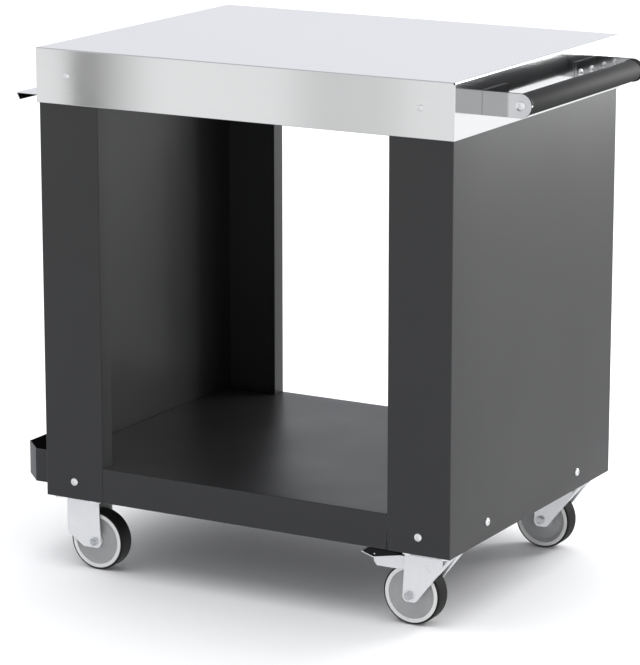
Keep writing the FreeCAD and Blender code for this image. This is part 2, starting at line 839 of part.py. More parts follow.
def make_rack():
    half = "rack_length / 2"
    strip = folded("rack_strip", "xz", [
        ("0 - top_length / 2", "apron_foot + rack_upstand"),
        ("0 - top_length / 2", "apron_foot"),
        ("0 - rack_outer_x + rack_sheet", "apron_foot"),
        ("0 - rack_outer_x + rack_lip_tuck", "apron_foot - rack_lip_drop"),
    ], "0 - rack_sheet", (f"0 - {half}", half))
    tools = []
    middle = "0 - top_length / 2 - rack_reach / 2"
    for step in ("0 - rack_slot_pitch", "0", "rack_slot_pitch"):
        straight = "(rack_slot_length - rack_slot_width) / 2"
        tools.append(box("rack_slot", (f"{middle} - {straight}", f"{middle} + {straight}"),
                         (f"{step} - rack_slot_width / 2", f"{step} + rack_slot_width / 2"),
                         ("apron_foot - past", "apron_foot + rack_sheet + past")))
        for turn in ("-", "+"):
            end = (f"{middle} {turn} {straight}", step, "apron_foot - past")
            tools.append(rod("rack_slot_end", "z", end, "rack_slot_width / 2", "rack_sheet + 2 * past"))
    for y in ("0 - rack_screw_pitch", "0", "rack_screw_pitch"):
        tools.append(rod("rack_hole", "x", ("0 - top_length / 2 - rack_sheet - past", y, "screw_height"),
                         "small_shank / 2 + shank_gap", "rack_sheet + 2 * past"))
    node("tool_rack", cut("rack_cut", strip, tools))


# Tool pocket on the left side panel: a low wall with chamfered corners and a floor.

def make_pocket():
    near = "0 - body_half_x - pocket_sheet"
    far = "0 - pocket_outer_x + pocket_sheet"
    end = "pocket_length / 2 - pocket_sheet"
    wall = folded("pocket_wall", "xy", [
        (near, f"0 - ({end}) + pocket_flange"),
        (near, f"0 - ({end})"),
        (f"{far} + pocket_chamfer", f"0 - ({end})"),
        (far, f"0 - ({end}) + pocket_chamfer"),
        (far, f"{end} - pocket_chamfer"),
        (f"{far} + pocket_chamfer", end),
        (near, end),
        (near, f"{end} - pocket_flange"),
    ], "pocket_sheet", ("pocket_foot", "pocket_foot + pocket_height"))
    floor = slab("pocket_floor", "xy", [
        (near, f"0 - ({end})"),
        (f"{far} + pocket_chamfer", f"0 - ({end})"),
        (far, f"0 - ({end}) + pocket_chamfer"),
        (far, f"{end} - pocket_chamfer"),
        (f"{far} + pocket_chamfer", end),
        (near, end),
    ], ("pocket_foot", "pocket_foot + pocket_sheet"))
    bores = [rod("pocket_hole", "x", ("0 - body_half_x - pocket_sheet - past", y,
                                      "pocket_foot + pocket_height / 2"),
                 "body_shank / 2 + shank_gap", "pocket_sheet + 2 * past")
             for y in both("pocket_length / 2 - pocket_flange / 2")]
    node("tool_pocket", cut("pocket_cut", join("pocket_blank", [wall, floor]), bores))


# Casters.  Each is drawn with its swivel axis upright through the origin, the top of its plate
# at zero and its wheel trailing towards -X, and then moved to its corner.

BRAKED = ("front_right", "rear_right")
CASTERS = {
    "front_right": ("swivel_x", "front_swivel_y", 0),
    "front_left": ("0 - swivel_x", "front_swivel_y", 180),
    "rear_right": ("swivel_x", "rear_swivel_y", 0),
    "rear_left": ("0 - swivel_x", "rear_swivel_y", 180),
}


def settle(item, corner):
    """Move a caster piece to its corner."""
    x, y, turn = CASTERS[corner]
    item.Placement = Placement(Vector(), Rotation(Vector(0, 0, 1), turn))
    bind(item, {
        "Placement.Base.x": x,
        "Placement.Base.y": y,
        "Placement.Base.z": "seat_height",
    })
    return item


def make_caster_plate(corner):
    """Top plate with its pressed race and the kingpin riveted through it."""
    name = "caster_plate_" + corner
    item = body(name + "_body")
    blank = sketch_in(item, name + "_blank", "xy", rectangle("plate_length / 2", "plate_width / 2"))
    pad(item, blank, "plate_sheet", backwards=True)
    soften(item, "plate_corner", lambda edge: runs_along(edge, "z"))
    race = "plate_sheet + race_drop"
    head = "plate_sheet + race_drop + fork_sheet + 2 * race_gap"
    turned = sketch_in(item, name + "_race", "xz", [
        ("0", "0 - plate_sheet / 2"),
        ("race_radius - race_slope", "0 - plate_sheet / 2"),
        ("race_radius", "0 - plate_sheet - race_slope"),
        ("race_radius", f"0 - ({race}) + race_slope"),
        ("race_radius - race_slope", f"0 - ({race})"),
        ("kingpin_radius", f"0 - ({race})"),
        ("kingpin_radius", f"0 - ({head})"),
        ("kingpin_head", f"0 - ({head})"),
        ("kingpin_head", f"0 - ({head}) - kingpin_head_rise / 2"),
        ("kingpin_head - kingpin_head_rise", f"0 - ({head}) - kingpin_head_rise"),
        ("0", f"0 - ({head}) - kingpin_head_rise"),
    ])
    spin(item, turned)
    bores = [rod(name + "_bore", "z", (x, y, "0 - plate_sheet - past"),
                 "plate_shank / 2 + shank_gap", "plate_sheet + 2 * past")
             for x in both("plate_pitch_x / 2") for y in both("plate_pitch_y / 2")]
    node(name, settle(cut(name + "_cut", item, bores), corner))


def fork_bores(name):
    """Cutters for the kingpin and for the axle."""
    return [
        rod(name + "_pin_bore", "z", ("0", "0", "crown_under - past"),
            "kingpin_radius + race_gap", "fork_sheet + 2 * past"),
        rod(name + "_axle_bore", "y", ("0 - caster_trail", "0 - fork_half - past", "0 - axle_drop"),
            "axle_radius + axle_gap", "2 * fork_half + 2 * past"),
    ]


def make_braked_fork(corner):
    """Pressed fork: two legs under a crown, and a slanted front panel with an arch for the wheel."""
    name = "caster_fork_" + corner
    inside = "fork_inside / 2"
    channel = folded(name + "_channel", "yz", [
        (f"0 - {inside}", "fork_foot"),
        (f"0 - {inside}", "crown_under"),
        (inside, "crown_under"),
        (inside, "fork_foot"),
    ], "fork_sheet", ("0 - caster_trail - foot_back - past", "fork_brow"))
    profile = body(name + "_profile")
    side = sketch_in(profile, name + "_side", "xz", [
        ("0 - caster_trail - fork_back", "crown_top"),
        ("fork_brow", "crown_top"),
        ("fork_brow", "brow_z"),
        ("foot_front_x", "fork_foot"),
        ("0 - caster_trail - foot_back", "fork_foot"),
    ])
    pad(profile, side, "2 * fork_half + 2 * past", both_ways=True)
    low = number("fork_foot")
    soften(profile, "foot_rounding",
           lambda edge: runs_along(edge, "y") and edge.BoundBox.ZMax < low + TOUCH)
    legs = overlap(name + "_legs", channel, profile)

    across = "fork_sheet * slant / slant_z"
    tongue = box(name + "_tongue", ("0", f"fork_front - {across}"),
                 ("0 - tongue_half", "tongue_half"), ("crown_under", "crown_top"))
    sheet_front = slab(name + "_front", "xz", [
        ("fork_front", "crown_top"),
        ("front_panel_foot_x", "front_panel_foot_z"),
        (f"front_panel_foot_x - {across}", "front_panel_foot_z"),
        (f"fork_front - {across}", "crown_top"),
    ], ("0 - fork_half", "fork_half"))
    wheel_half = "wheel_width / 2 + past"
    arch = slab(name + "_arch", "yz", [
        ("0 - arch_top_half", "crown_under"),
        ("arch_top_half", "crown_under"),
        (wheel_half, "0 - arch_drop"),
        (wheel_half, "fork_foot"),
        (f"0 - ({wheel_half})", "fork_foot"),
        (f"0 - ({wheel_half})", "0 - arch_drop"),
    ], ("0 - caster_trail", "fork_front + past"))
    front = cut(name + "_panel", sheet_front, [arch])

    pedal_bore = rod(name + "_pedal_bore", "y",
                     ("pedal_pin_ahead", "0 - fork_half - past", "0 - pedal_pin_drop"),
                     "pedal_pin_radius + axle_gap", "2 * fork_half + 2 * past")
    blank = join(name + "_blank", [legs, tongue, front])
    node(name, settle(cut(name + "_cut", blank, fork_bores(name) + [pedal_bore]), corner))


def make_plain_fork(corner):
    """Pressed fork without a brake: one shell whose rounded front covers the top of the wheel."""
    name = "caster_fork_" + corner
    back = "0 - caster_trail - foot_back"
    outer = body(name + "_outer")
    outline_outer = sketch_in(outer, name + "_plan", "xy", span_across(back, "fork_brow", "fork_half"),
                              "fork_foot")
    pad(outer, outline_outer, "crown_top - fork_foot")
    front = number("fork_brow")
    soften(outer, "shell_corner",
           lambda edge: runs_along(edge, "z") and edge.BoundBox.XMin > front - TOUCH)
    inner = body(name + "_inner")
    outline_inner = sketch_in(inner, name + "_inside", "xy",
                              span_across(f"{back} - past", "fork_brow - fork_sheet", "fork_inside / 2"),
                              "fork_foot - past")
    pad(inner, outline_inner, "crown_under - fork_foot + past")
    front_inside = number("fork_brow") - number("fork_sheet")
    soften(inner, "shell_corner - fork_sheet",
           lambda edge: runs_along(edge, "z") and edge.BoundBox.XMin > front_inside - TOUCH)
    shell = cut(name + "_shell", outer, [inner])
    profile = body(name + "_profile")
    side = sketch_in(profile, name + "_side", "xz", [
        ("0 - caster_trail - fork_back", "crown_top"),
        ("fork_brow", "crown_top"),
        ("fork_brow", "fork_foot + shell_front_rise"),
        ("shell_foot_ahead - caster_trail", "fork_foot"),
        (back, "fork_foot"),
    ])
    pad(profile, side, "2 * fork_half + 2 * past", both_ways=True)
    low = number("fork_foot")
    soften(profile, "foot_rounding",
           lambda edge: runs_along(edge, "y") and edge.BoundBox.ZMax < low + TOUCH)
    blank = overlap(name + "_pressed", shell, profile)
    node(name, settle(cut(name + "_cut", blank, fork_bores(name)), corner))


def make_axle(corner):
    """Axle bolt with its hexagonal head in front and its nut behind."""
    name = "caster_axle_" + corner
    at = "0 - caster_trail"
    down = "0 - axle_drop"
    shank = rod(name + "_shank", "y", (at, "0 - fork_half - axle_head_rise", down), "axle_radius",
                "2 * fork_half + axle_head_rise + axle_nut_height + past")
    head = hexagon(name + "_head", "y", (at, "0 - fork_half - axle_head_rise", down), "axle_head",
                   "axle_head_rise")
    nut_blank = hexagon(name + "_nut", "y", (at, "fork_half", down), "axle_head", "axle_nut_height")
    node(name, settle(join(name + "_bolt", [shank, head, nut_blank]), corner))


def make_wheel(corner):
    """Moulded centre with a raised rim, a dished cover on each side, and a solid tyre."""
    half = "wheel_width / 2"
    boss = "fork_inside / 2 - boss_gap"
    bore = "axle_radius + axle_gap"
    web = "web_thickness / 2"
    centre = "wheel_centre_" + corner
    item = body(centre + "_body")
    quarter = [
        (bore, boss),
        ("boss_radius", boss),
        ("boss_radius", web),
        ("well_radius", web),
        ("well_radius", f"{half} - rim_chamfer"),
        ("well_radius + rim_chamfer", half),
        ("lip_radius", half),
        ("lip_radius", f"{half} - rim_lip_width"),
        ("rim_radius", f"{half} - rim_lip_width"),
    ]
    mirrored = [(r, f"0 - ({y})") for r, y in reversed(quarter)]
    spin(item, sketch_in(item, centre + "_profile", "xz", quarter + mirrored))
    upright(item, corner)
    node(centre, item)

    covers = []
    for sign in ("", "0 - "):
        cover = body("wheel_cover_body")
        points = [
            ("boss_radius + boss_gap", f"{half} - cover_rim"),
            ("boss_radius + boss_gap + cover_collar", f"{half} - cover_rim"),
            ("boss_radius + boss_gap + 2 * cover_collar", f"{half} - cover_dish"),
            ("well_radius - cover_flare", f"{half} - cover_dish"),
            ("well_radius - boss_gap", f"{half} - cover_rim"),
            ("well_radius - boss_gap", f"{half} - cover_rim - cover_sheet"),
            ("well_radius - cover_flare", f"{half} - cover_dish - cover_sheet"),
            ("boss_radius + boss_gap", f"{half} - cover_dish - cover_sheet"),
        ]
        spin(cover, sketch_in(cover, "wheel_cover_profile", "xz",
                              [(r, f"{sign}({y})") for r, y in points]))
        upright(cover, corner)
        covers.append(cover)
    node("wheel_covers_" + corner, group("wheel_covers_pair", covers))

    tyre = "tyre_" + corner
    item = body(tyre + "_body")
    quarter = [
        ("rim_radius", f"{half} - rim_lip_width"),
        ("lip_radius", f"{half} - rim_lip_width"),
        ("lip_radius", half),
        ("tyre_radius - tread_shoulder", half),
        ("tyre_radius - shoulder_round", f"{half} - shoulder_round"),
        ("tyre_radius", f"{half} - tread_shoulder"),
    ]
    mirrored = [(r, f"0 - ({y})") for r, y in reversed(quarter)]
    spin(item, sketch_in(item, tyre + "_profile", "xz", quarter + mirrored))
    upright(item, corner)
    node(tyre, item)


def upright(item, corner):
    """Turn a wheel piece onto its axle line and move it to its corner."""
    x, y, turn = CASTERS[corner]
    item.Placement = Placement(Vector(), Rotation(Vector(1, 0, 0), 90))
    trail = "- caster_trail" if turn == 0 else "+ caster_trail"
    bind(item, {
        "Placement.Base.x": f"{x} {trail}",
        "Placement.Base.y": y,
        "Placement.Base.z": "wheel_diameter / 2",
    })
    return item


def make_pedal(corner):
    """Brake pedal: a pressed lever on a riveted pin, with a moulded cap over its tread."""
    lever = "pedal_lever_" + corner
    item = body(lever + "_body")
    back, knee, neck = "0 - lever_tip", "0 - lever_knee", "0 - lever_neck"
    blank = sketch_in(item, lever + "_blank", "xz", [
        (back, "0 - lever_tip_drop"),
        (knee, "0 - lever_knee_drop"),
        (neck, "0 - lever_neck_drop"),
        ("0 - lever_end", "0 - lever_end_drop"),
        ("pedal_pin_ahead + ear_flat", "0 - pedal_pin_drop + ear_half"),
        ("pedal_pin_ahead + ear_half", "0 - pedal_pin_drop + ear_flat"),
        ("pedal_pin_ahead + ear_half", "0 - pedal_pin_drop - ear_flat"),
        ("pedal_pin_ahead + ear_flat", "0 - pedal_pin_drop - ear_half"),
        ("0 - skirt_start", "0 - lever_skirt_drop"),
        (f"{knee} + skirt_corner", "0 - lever_skirt_drop"),
        (f"{knee} + past", "0 - lever_skirt_drop + skirt_corner"),
        (knee, "0 - lever_knee_drop - pedal_sheet"),
        (back, "0 - lever_tip_drop - pedal_sheet"),
    ])
    pad(item, blank, "2 * pedal_half", both_ways=True)
    below = "0 - lever_skirt_drop - past"
    hollow = sketch_in(item, lever + "_hollow", "xz", [
        (knee, "0 - lever_knee_drop - pedal_sheet"),
        (neck, "0 - lever_neck_drop - pedal_sheet"),
        ("0 - lever_end", "0 - lever_end_drop - pedal_sheet"),
        ("0 - lever_end", "0"),
        ("pedal_pin_ahead + ear_half + past", "0"),
        ("pedal_pin_ahead + ear_half + past", below),
        (f"{knee} - past", below),
    ])
    pocket(item, hollow, "2 * pedal_half - 2 * pedal_sheet", both_ways=True)
    tyre_top = "0 - axle_drop + tyre_radius"
    shoe = box(lever + "_shoe",
               ("0 - caster_trail - shoe_length / 2", "0 - caster_trail + shoe_length / 2"),
               ("0 - shoe_half_width", "shoe_half_width"),
               (f"{tyre_top} + shoe_gap", "0 - lever_neck_drop - pedal_sheet"))
    bore = rod(lever + "_bore", "y", ("pedal_pin_ahead", "0 - pedal_half - past", "0 - pedal_pin_drop"),
               "pedal_pin_radius + axle_gap", "2 * pedal_half + 2 * past")
    node(lever, settle(cut(lever + "_cut", join(lever + "_pressed", [item, shoe]), [bore]), corner))

    cap = "pedal_cap_" + corner
    item = body(cap + "_body")
    pad(item, sketch_in(item, cap + "_outline", "xz", [
        ("0 - cap_tip", "0 - cap_tip_drop"),
        (knee, "0 - lever_knee_drop"),
        (neck, "0 - lever_neck_drop"),
        (neck, "0 - cap_crown_drop - cap_fall"),
        (f"{knee} + cap_crown_start", "0 - cap_crown_drop"),
        ("0 - cap_tip + cap_crown_end", "0 - cap_crown_drop - cap_fall / 2"),
        ("0 - cap_tip", "0 - cap_tip_drop + cap_nose"),
    ]), "2 * cap_half_width", both_ways=True)
    crown_foot = -number("cap_crown_drop") - number("cap_fall") - TOUCH
    soften(item, "cap_rounding", lambda edge: edge.BoundBox.ZMin > crown_foot
           and not runs_along(edge, "y"))
    node(cap, settle(item, corner))

    pin = "pedal_pin_" + corner
    pieces = [rod(pin + "_shank", "y", ("pedal_pin_ahead", "0 - fork_half", "0 - pedal_pin_drop"),
                  "pedal_pin_radius", "2 * fork_half")]
    for start in ("0 - fork_half - pin_head_rise", "fork_half"):
        pieces.append(rod(pin + "_head", "y", ("pedal_pin_ahead", start, "0 - pedal_pin_drop"),
                          "pin_head_radius", "pin_head_rise"))
    node(pin, settle(join(pin + "_rivet", pieces), corner))


# Fixings: each set has its screws, and behind the sheets their nuts.

def make_fixings():
    small = ("small_head", "small_head_rise", "small_shank")
    large = ("body_head", "body_head_rise", "body_shank")
    small_screw = screw("small_screw", *small, "small_length")
    small_nut = nut("small_nut", "small_nut", "small_nut_height", "small_shank / 2 + thread_gap")
    body_screw = screw("body_screw", *large, "body_length")
    body_nut = nut("body_nut", "body_nut", "body_nut_height", "body_shank / 2 + thread_gap")
    handle_bolt = screw("handle_bolt", "handle_head", "handle_head_rise", "handle_shank",
                        "handle_bolt_length")
    plate_bolt = join("plate_bolt", [
        rod("plate_bolt_shank", "z", ("0", "0", "0 - plate_bolt_length"), "plate_shank / 2",
            "plate_bolt_length + plate_head_rise / 2"),
        hexagon("plate_bolt_head", "z", ("0", "0", "0"), "plate_head", "plate_head_rise"),
    ])
    plate_nut = nut("plate_nut", "plate_head", "plate_nut_height", "plate_shank / 2 + thread_gap")

    column = number("column_middle")
    panel_x, panel_y = number("body_half_x"), number("body_half_y")
    top_x, top_y = number("top_length") / 2, number("top_width") / 2
    high, low = number("screw_height"), number("foot_screw_height")

    places = []
    for x in (-column, column):
        for sign, facing, back in ((-1, "front", "rear"), (1, "rear", "front")):
            places.append((small_screw, (x, sign * top_y, high), facing))
            places.append((small_nut, (x, sign * number("panel_inner_y"), high), back))
    for y in (-number("rack_screw_pitch"), 0, number("rack_screw_pitch")):
        places.append((small_screw, (-top_x - number("rack_sheet"), y, high), "left"))
        places.append((small_nut, (-number("panel_inner_x"), y, high), "right"))
    set_of("worktop_screws", places)

    places = []
    wall_y = number("pan_half_y") - number("pan_sheet")
    for x in (-column, column):
        for sign, facing, back in ((-1, "front", "rear"), (1, "rear", "front")):
            places.append((body_screw, (x, sign * panel_y, low), facing))
            places.append((body_nut, (x, sign * wall_y, low), back))
    set_of("column_screws", places)

    places = []
    wall_x = number("pan_outer_x") - number("pan_sheet")
    for sign, facing, back in ((-1, "left", "right"), (1, "right", "left")):
        for y in (-number("side_screw_pitch") / 2, number("side_screw_pitch") / 2):
            places.append((body_screw, (sign * panel_x, y, low), facing))
            places.append((body_nut, (sign * wall_x, y, low), back))
    set_of("side_screws", places)

    places = []
    height = number("pocket_foot") + number("pocket_height") / 2
    reach = number("pocket_length") / 2 - number("pocket_flange") / 2
    for y in (-reach, reach):
        places.append((body_screw, (-panel_x - number("pocket_sheet"), y, height), "left"))
        places.append((body_nut, (-wall_x, y, height), "right"))
    set_of("pocket_screws", places)

    places = []
    for sign in (-1, 1):
        for step in ("arm_screw_first", "arm_screw_second"):
            y = sign * (number("arm_outer_y") - number(step))
            places.append((body_screw, (top_x + number("arm_sheet"), y, high), "right"))
            places.append((body_nut, (number("panel_inner_x"), y, high), "left"))
    set_of("arm_screws", places)

    arm = number("arm_outer_y")
    set_of("handle_bolts", [
        (handle_bolt, (number("tube_axis_x"), -arm, high), "front"),
        (handle_bolt, (number("tube_axis_x"), arm, high), "rear"),
    ])

    places = []
    base = number("seat_height")
    for x in (-number("swivel_x"), number("swivel_x")):
        for y in (number("front_swivel_y"), number("rear_swivel_y")):
            for along in (-number("plate_pitch_x") / 2, number("plate_pitch_x") / 2):
                for away in (-number("plate_pitch_y") / 2, number("plate_pitch_y") / 2):
                    spot = (x + along, y + away)
                    places.append((plate_bolt, (*spot, base - number("plate_sheet")), "down"))
                    places.append((plate_nut, (*spot, base + number("pan_sheet")), "up"))
    set_of("caster_bolts", places)


make_worktop()
make_side_panel("side_panel_left", -1)
make_side_panel("side_panel_right", 1)
make_shelf()
make_pan("caster_pan_left", -1)
make_pan("caster_pan_right", 1)
make_handle()
make_rack()
make_pocket()
rib("worktop_rib_front", "0 - rib_offset", "work_height - top_sheet",
    "panel_inner_x - top_flange - shelf_seam")
rib("worktop_rib_rear", "rib_offset", "work_height - top_sheet",
    "panel_inner_x - top_flange - shelf_seam")
rib("shelf_rib", "0", "shelf_top - panel_sheet", "pan_inner_x - shelf_seam")
for corner in CASTERS:
    make_caster_plate(corner)
    make_axle(corner)
    make_wheel(corner)
    if corner in BRAKED:
        make_braked_fork(corner)
        make_pedal(corner)
    else:
        make_plain_fork(corner)

make_fixings()

doc.recompute()
broken = [item.Label for item in doc.Objects if {"Invalid", "Error"} & set(item.State)]
broken += [label for label, item in NODES.items()
           if item.Shape.isNull() or not item.Shape.isValid() or not item.Shape.Solids]
if broken:
    raise RuntimeError(f"these pieces did not build: {broken}")

os.makedirs("parts", exist_ok=True)
for label, item in NODES.items():
    item.Shape.exportStep(f"parts/{label}.step")
print("pieces:", len(NODES), "solids:", sum(len(item.Shape.Solids) for item in NODES.values()))
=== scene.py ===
# %% [markdown]
# # A wheeled steel table for a pizza oven
#
# This lesson dresses a finished sheet-metal table. The folded panels, casters and screws
# already stand in the frame at their real size, so no piece is moved or scaled here.
# Each step names a real finish or a real piece, says how it could be made in Blender,
# and then makes it. All lengths are in metres.

# %% Load the table
import json
import math

import bmesh
import bpy
from mathutils import Matrix, Vector


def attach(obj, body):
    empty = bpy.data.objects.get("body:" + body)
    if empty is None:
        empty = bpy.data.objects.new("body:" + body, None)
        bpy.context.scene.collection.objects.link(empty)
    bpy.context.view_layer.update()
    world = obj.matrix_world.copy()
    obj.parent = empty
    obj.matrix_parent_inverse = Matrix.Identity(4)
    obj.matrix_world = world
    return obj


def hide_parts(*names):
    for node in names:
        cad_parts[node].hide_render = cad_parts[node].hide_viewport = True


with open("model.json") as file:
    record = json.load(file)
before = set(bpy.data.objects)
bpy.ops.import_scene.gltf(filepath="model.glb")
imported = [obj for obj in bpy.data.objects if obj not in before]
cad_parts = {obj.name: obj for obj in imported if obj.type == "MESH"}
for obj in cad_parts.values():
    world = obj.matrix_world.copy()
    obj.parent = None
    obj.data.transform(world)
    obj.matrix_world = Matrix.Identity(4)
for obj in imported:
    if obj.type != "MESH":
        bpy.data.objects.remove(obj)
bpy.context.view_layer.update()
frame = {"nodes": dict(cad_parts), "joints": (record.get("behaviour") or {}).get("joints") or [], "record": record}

# %% [markdown]
# ## The camera
#
# The table is seen from the right, a little above its worktop, through a long lens.
# A long lens keeps the upright edges nearly parallel, as a product picture does.
# The lens is worked out from the picture's longer side and a focal length that is
# counted in pixels, so the camera needs no trial and error.

# %% Place the camera
PICTURE_WIDTH, PICTURE_HEIGHT = 640, 665
FOCAL_PIXELS = 3255.9
SENSOR = 36.0
CAMERA_PLACE = Vector((2.5857, -4.6135, 1.6332))
CAMERA_TURN = math.radians(29.479)
CAMERA_DIP = math.radians(13.285)

camera_data = bpy.data.cameras.new("camera")
camera_data.sensor_width = SENSOR
camera_data.lens = FOCAL_PIXELS * SENSOR / max(PICTURE_WIDTH, PICTURE_HEIGHT)
camera = bpy.data.objects.new("camera", camera_data)
camera.location = CAMERA_PLACE
camera.rotation_euler = (math.pi / 2 - CAMERA_DIP, 0, CAMERA_TURN)
bpy.context.collection.objects.link(camera)
bpy.context.scene.camera = camera
print("lens:", round(camera_data.lens, 1), "mm")

# %% [markdown]
# ## Meshes from rings
#
# Nearly every small piece of this table is turned or has six sides: screws, nuts, wheels,
# plugs. Each is a stack of rings of points, with faces between one ring and the next. Such
# a stack could be drawn by hand, but in code a screw is a dozen lines, and every edge gets
# its real chamfer. A six-sided ring has as many points as a round one, so the two can be
# joined.

# %% Draw rings
RING_POINTS = 48
SHARP_ANGLE = math.radians(38)
HEX_TURN = math.pi / 3


def new_mesh_object(name, verts, faces):
    """A mesh object from points and faces, smooth except where it is sharply bent."""
    mesh = bpy.data.meshes.new(name)
    mesh.from_pydata(verts, [], faces)
    mesh.validate()
    mesh.shade_smooth()
    mesh.set_sharp_from_angle(angle=SHARP_ANGLE)
    made = bpy.data.objects.new(name, mesh)
    bpy.context.collection.objects.link(made)
    return made


def ring(radius, height, count=RING_POINTS):
    """A round ring of points at a height."""
    turns = [math.tau * i / count for i in range(count)]
    return [Vector((radius * math.cos(t), radius * math.sin(t), height)) for t in turns]


def hex_ring(across_flats, height, chamfer_from=None, fall=0.0, count=RING_POINTS):
    """A six-sided ring. Where it is wider than chamfer_from it lies lower, by fall for each metre."""
    points = []
    for i in range(count):
        turn = math.tau * i / count
        off = (turn + HEX_TURN / 2) % HEX_TURN - HEX_TURN / 2
        radius = across_flats / 2 / math.cos(off)
        drop = 0.0 if chamfer_from is None else max(0.0, radius - chamfer_from) * fall
        points.append(Vector((radius * math.cos(turn), radius * math.sin(turn), height - drop)))
    return points


print("points on a ring:", RING_POINTS)

# %% [markdown]
# ## Soft corners
#
# Turned and moulded pieces have no knife-sharp corners, because the tool and the mould both
# leave a small radius. The corners could be bevelled on the finished mesh. It is simpler to
# round the outline first: each corner turns into a short curve between its neighbours.

# %% Round an outline
CORNER_ROOM = 2.2


def rounded(corners, radius, steps=4):
    """A closed outline whose corners are turned into small curves."""
    path = []
    count = len(corners)
    for i in range(count):
        before, corner, after = (Vector(corners[(i + k) % count]) for k in (-1, 0, 1))
        room = min((before - corner).length, (after - corner).length) / CORNER_ROOM
        reach = min(radius, room)
        start = corner + (before - corner).normalized() * reach
        end = corner + (after - corner).normalized() * reach
        for step in range(steps + 1):
            t = step / steps
            path.append(start.lerp(corner, t).lerp(corner.lerp(end, t), t))
    return path


print("points of a rounded square:", len(rounded([(0, 0), (1, 0), (1, 1), (0, 1)], 0.1)))

# %% [markdown]
# ## Patterns of rings
#
# One set of screws is one piece, and so is a bolt with its nut. Their ring stacks could be
# objects of their own that are joined later. A pattern gathers them instead, each at its
# own place, and then makes one clean mesh of them, with every face looking outwards.

# %% Gather rings into one mesh
class Pattern:
    """Points and faces that are gathered part by part and then become one mesh."""

    def __init__(self):
        self.verts = []
        self.faces = []

    def add(self, rings, place=Matrix(), wrap=False):
        """Faces between rings. The ends are closed, or joined to each other with wrap."""
        start = len(self.verts)
        count = len(rings[0])
        for points in rings:
            self.verts += [place @ point for point in points]
        layers = len(rings) if wrap else len(rings) - 1
        for k in range(layers):
            low = start + k * count
            high = start + (k + 1) % len(rings) * count
            for i in range(count):
                j = (i + 1) % count
                self.faces.append((low + i, low + j, high + j, high + i))
        if not wrap:
            self.faces.append(tuple(range(start + count - 1, start - 1, -1)))
            self.faces.append(tuple(range(len(self.verts) - count, len(self.verts))))
        return self

    def turn(self, outline, place=Matrix(), count=RING_POINTS):
        """A ring-shaped solid: a closed outline of (radius, height) spun once round the axis."""
        return self.add([ring(r, h, count) for r, h in outline], place, wrap=True)

    def build(self, name):
        """The mesh object of everything that was gathered."""
        made = new_mesh_object(name, self.verts, self.faces)
        mesh = bmesh.new()
        mesh.from_mesh(made.data)
        bmesh.ops.recalc_face_normals(mesh, faces=mesh.faces)
        mesh.to_mesh(made.data)
        mesh.free()
        made.data.set_sharp_from_angle(angle=SHARP_ANGLE)
        return made


print("faces of a plain cylinder:", len(Pattern().add([ring(1, 0), ring(1, 1)]).faces))

# %% [markdown]
# ## Places
#
# Every screw and wheel is made at the origin, upright, and is then put in its place. A
# matrix does that: one moves, the other also turns the piece until it looks along an axis.

# %% Place a piece
def moved(x, y, z):
    """A placing matrix that only moves."""
    return Matrix.Translation((x, y, z))


def facing(x, y, z, direction):
    """A placing matrix whose own upward axis looks in a direction."""
    turn = Vector(direction).to_track_quat("Z", "Y").to_matrix().to_4x4()
    return moved(x, y, z) @ turn


print("up, turned to face the front:", facing(0, 0, 0, (0, -1, 0)).to_3x3() @ Vector((0, 0, 1)))

# %% [markdown]
# ## A kit for finishes
#
# Every finish is a small tree of shader nodes. The same few nodes come back each time:
# a noise read in the table's own metres, a curve that narrows it to a range, and a bump.
# Short helpers for these keep each finish down to a few readable lines.

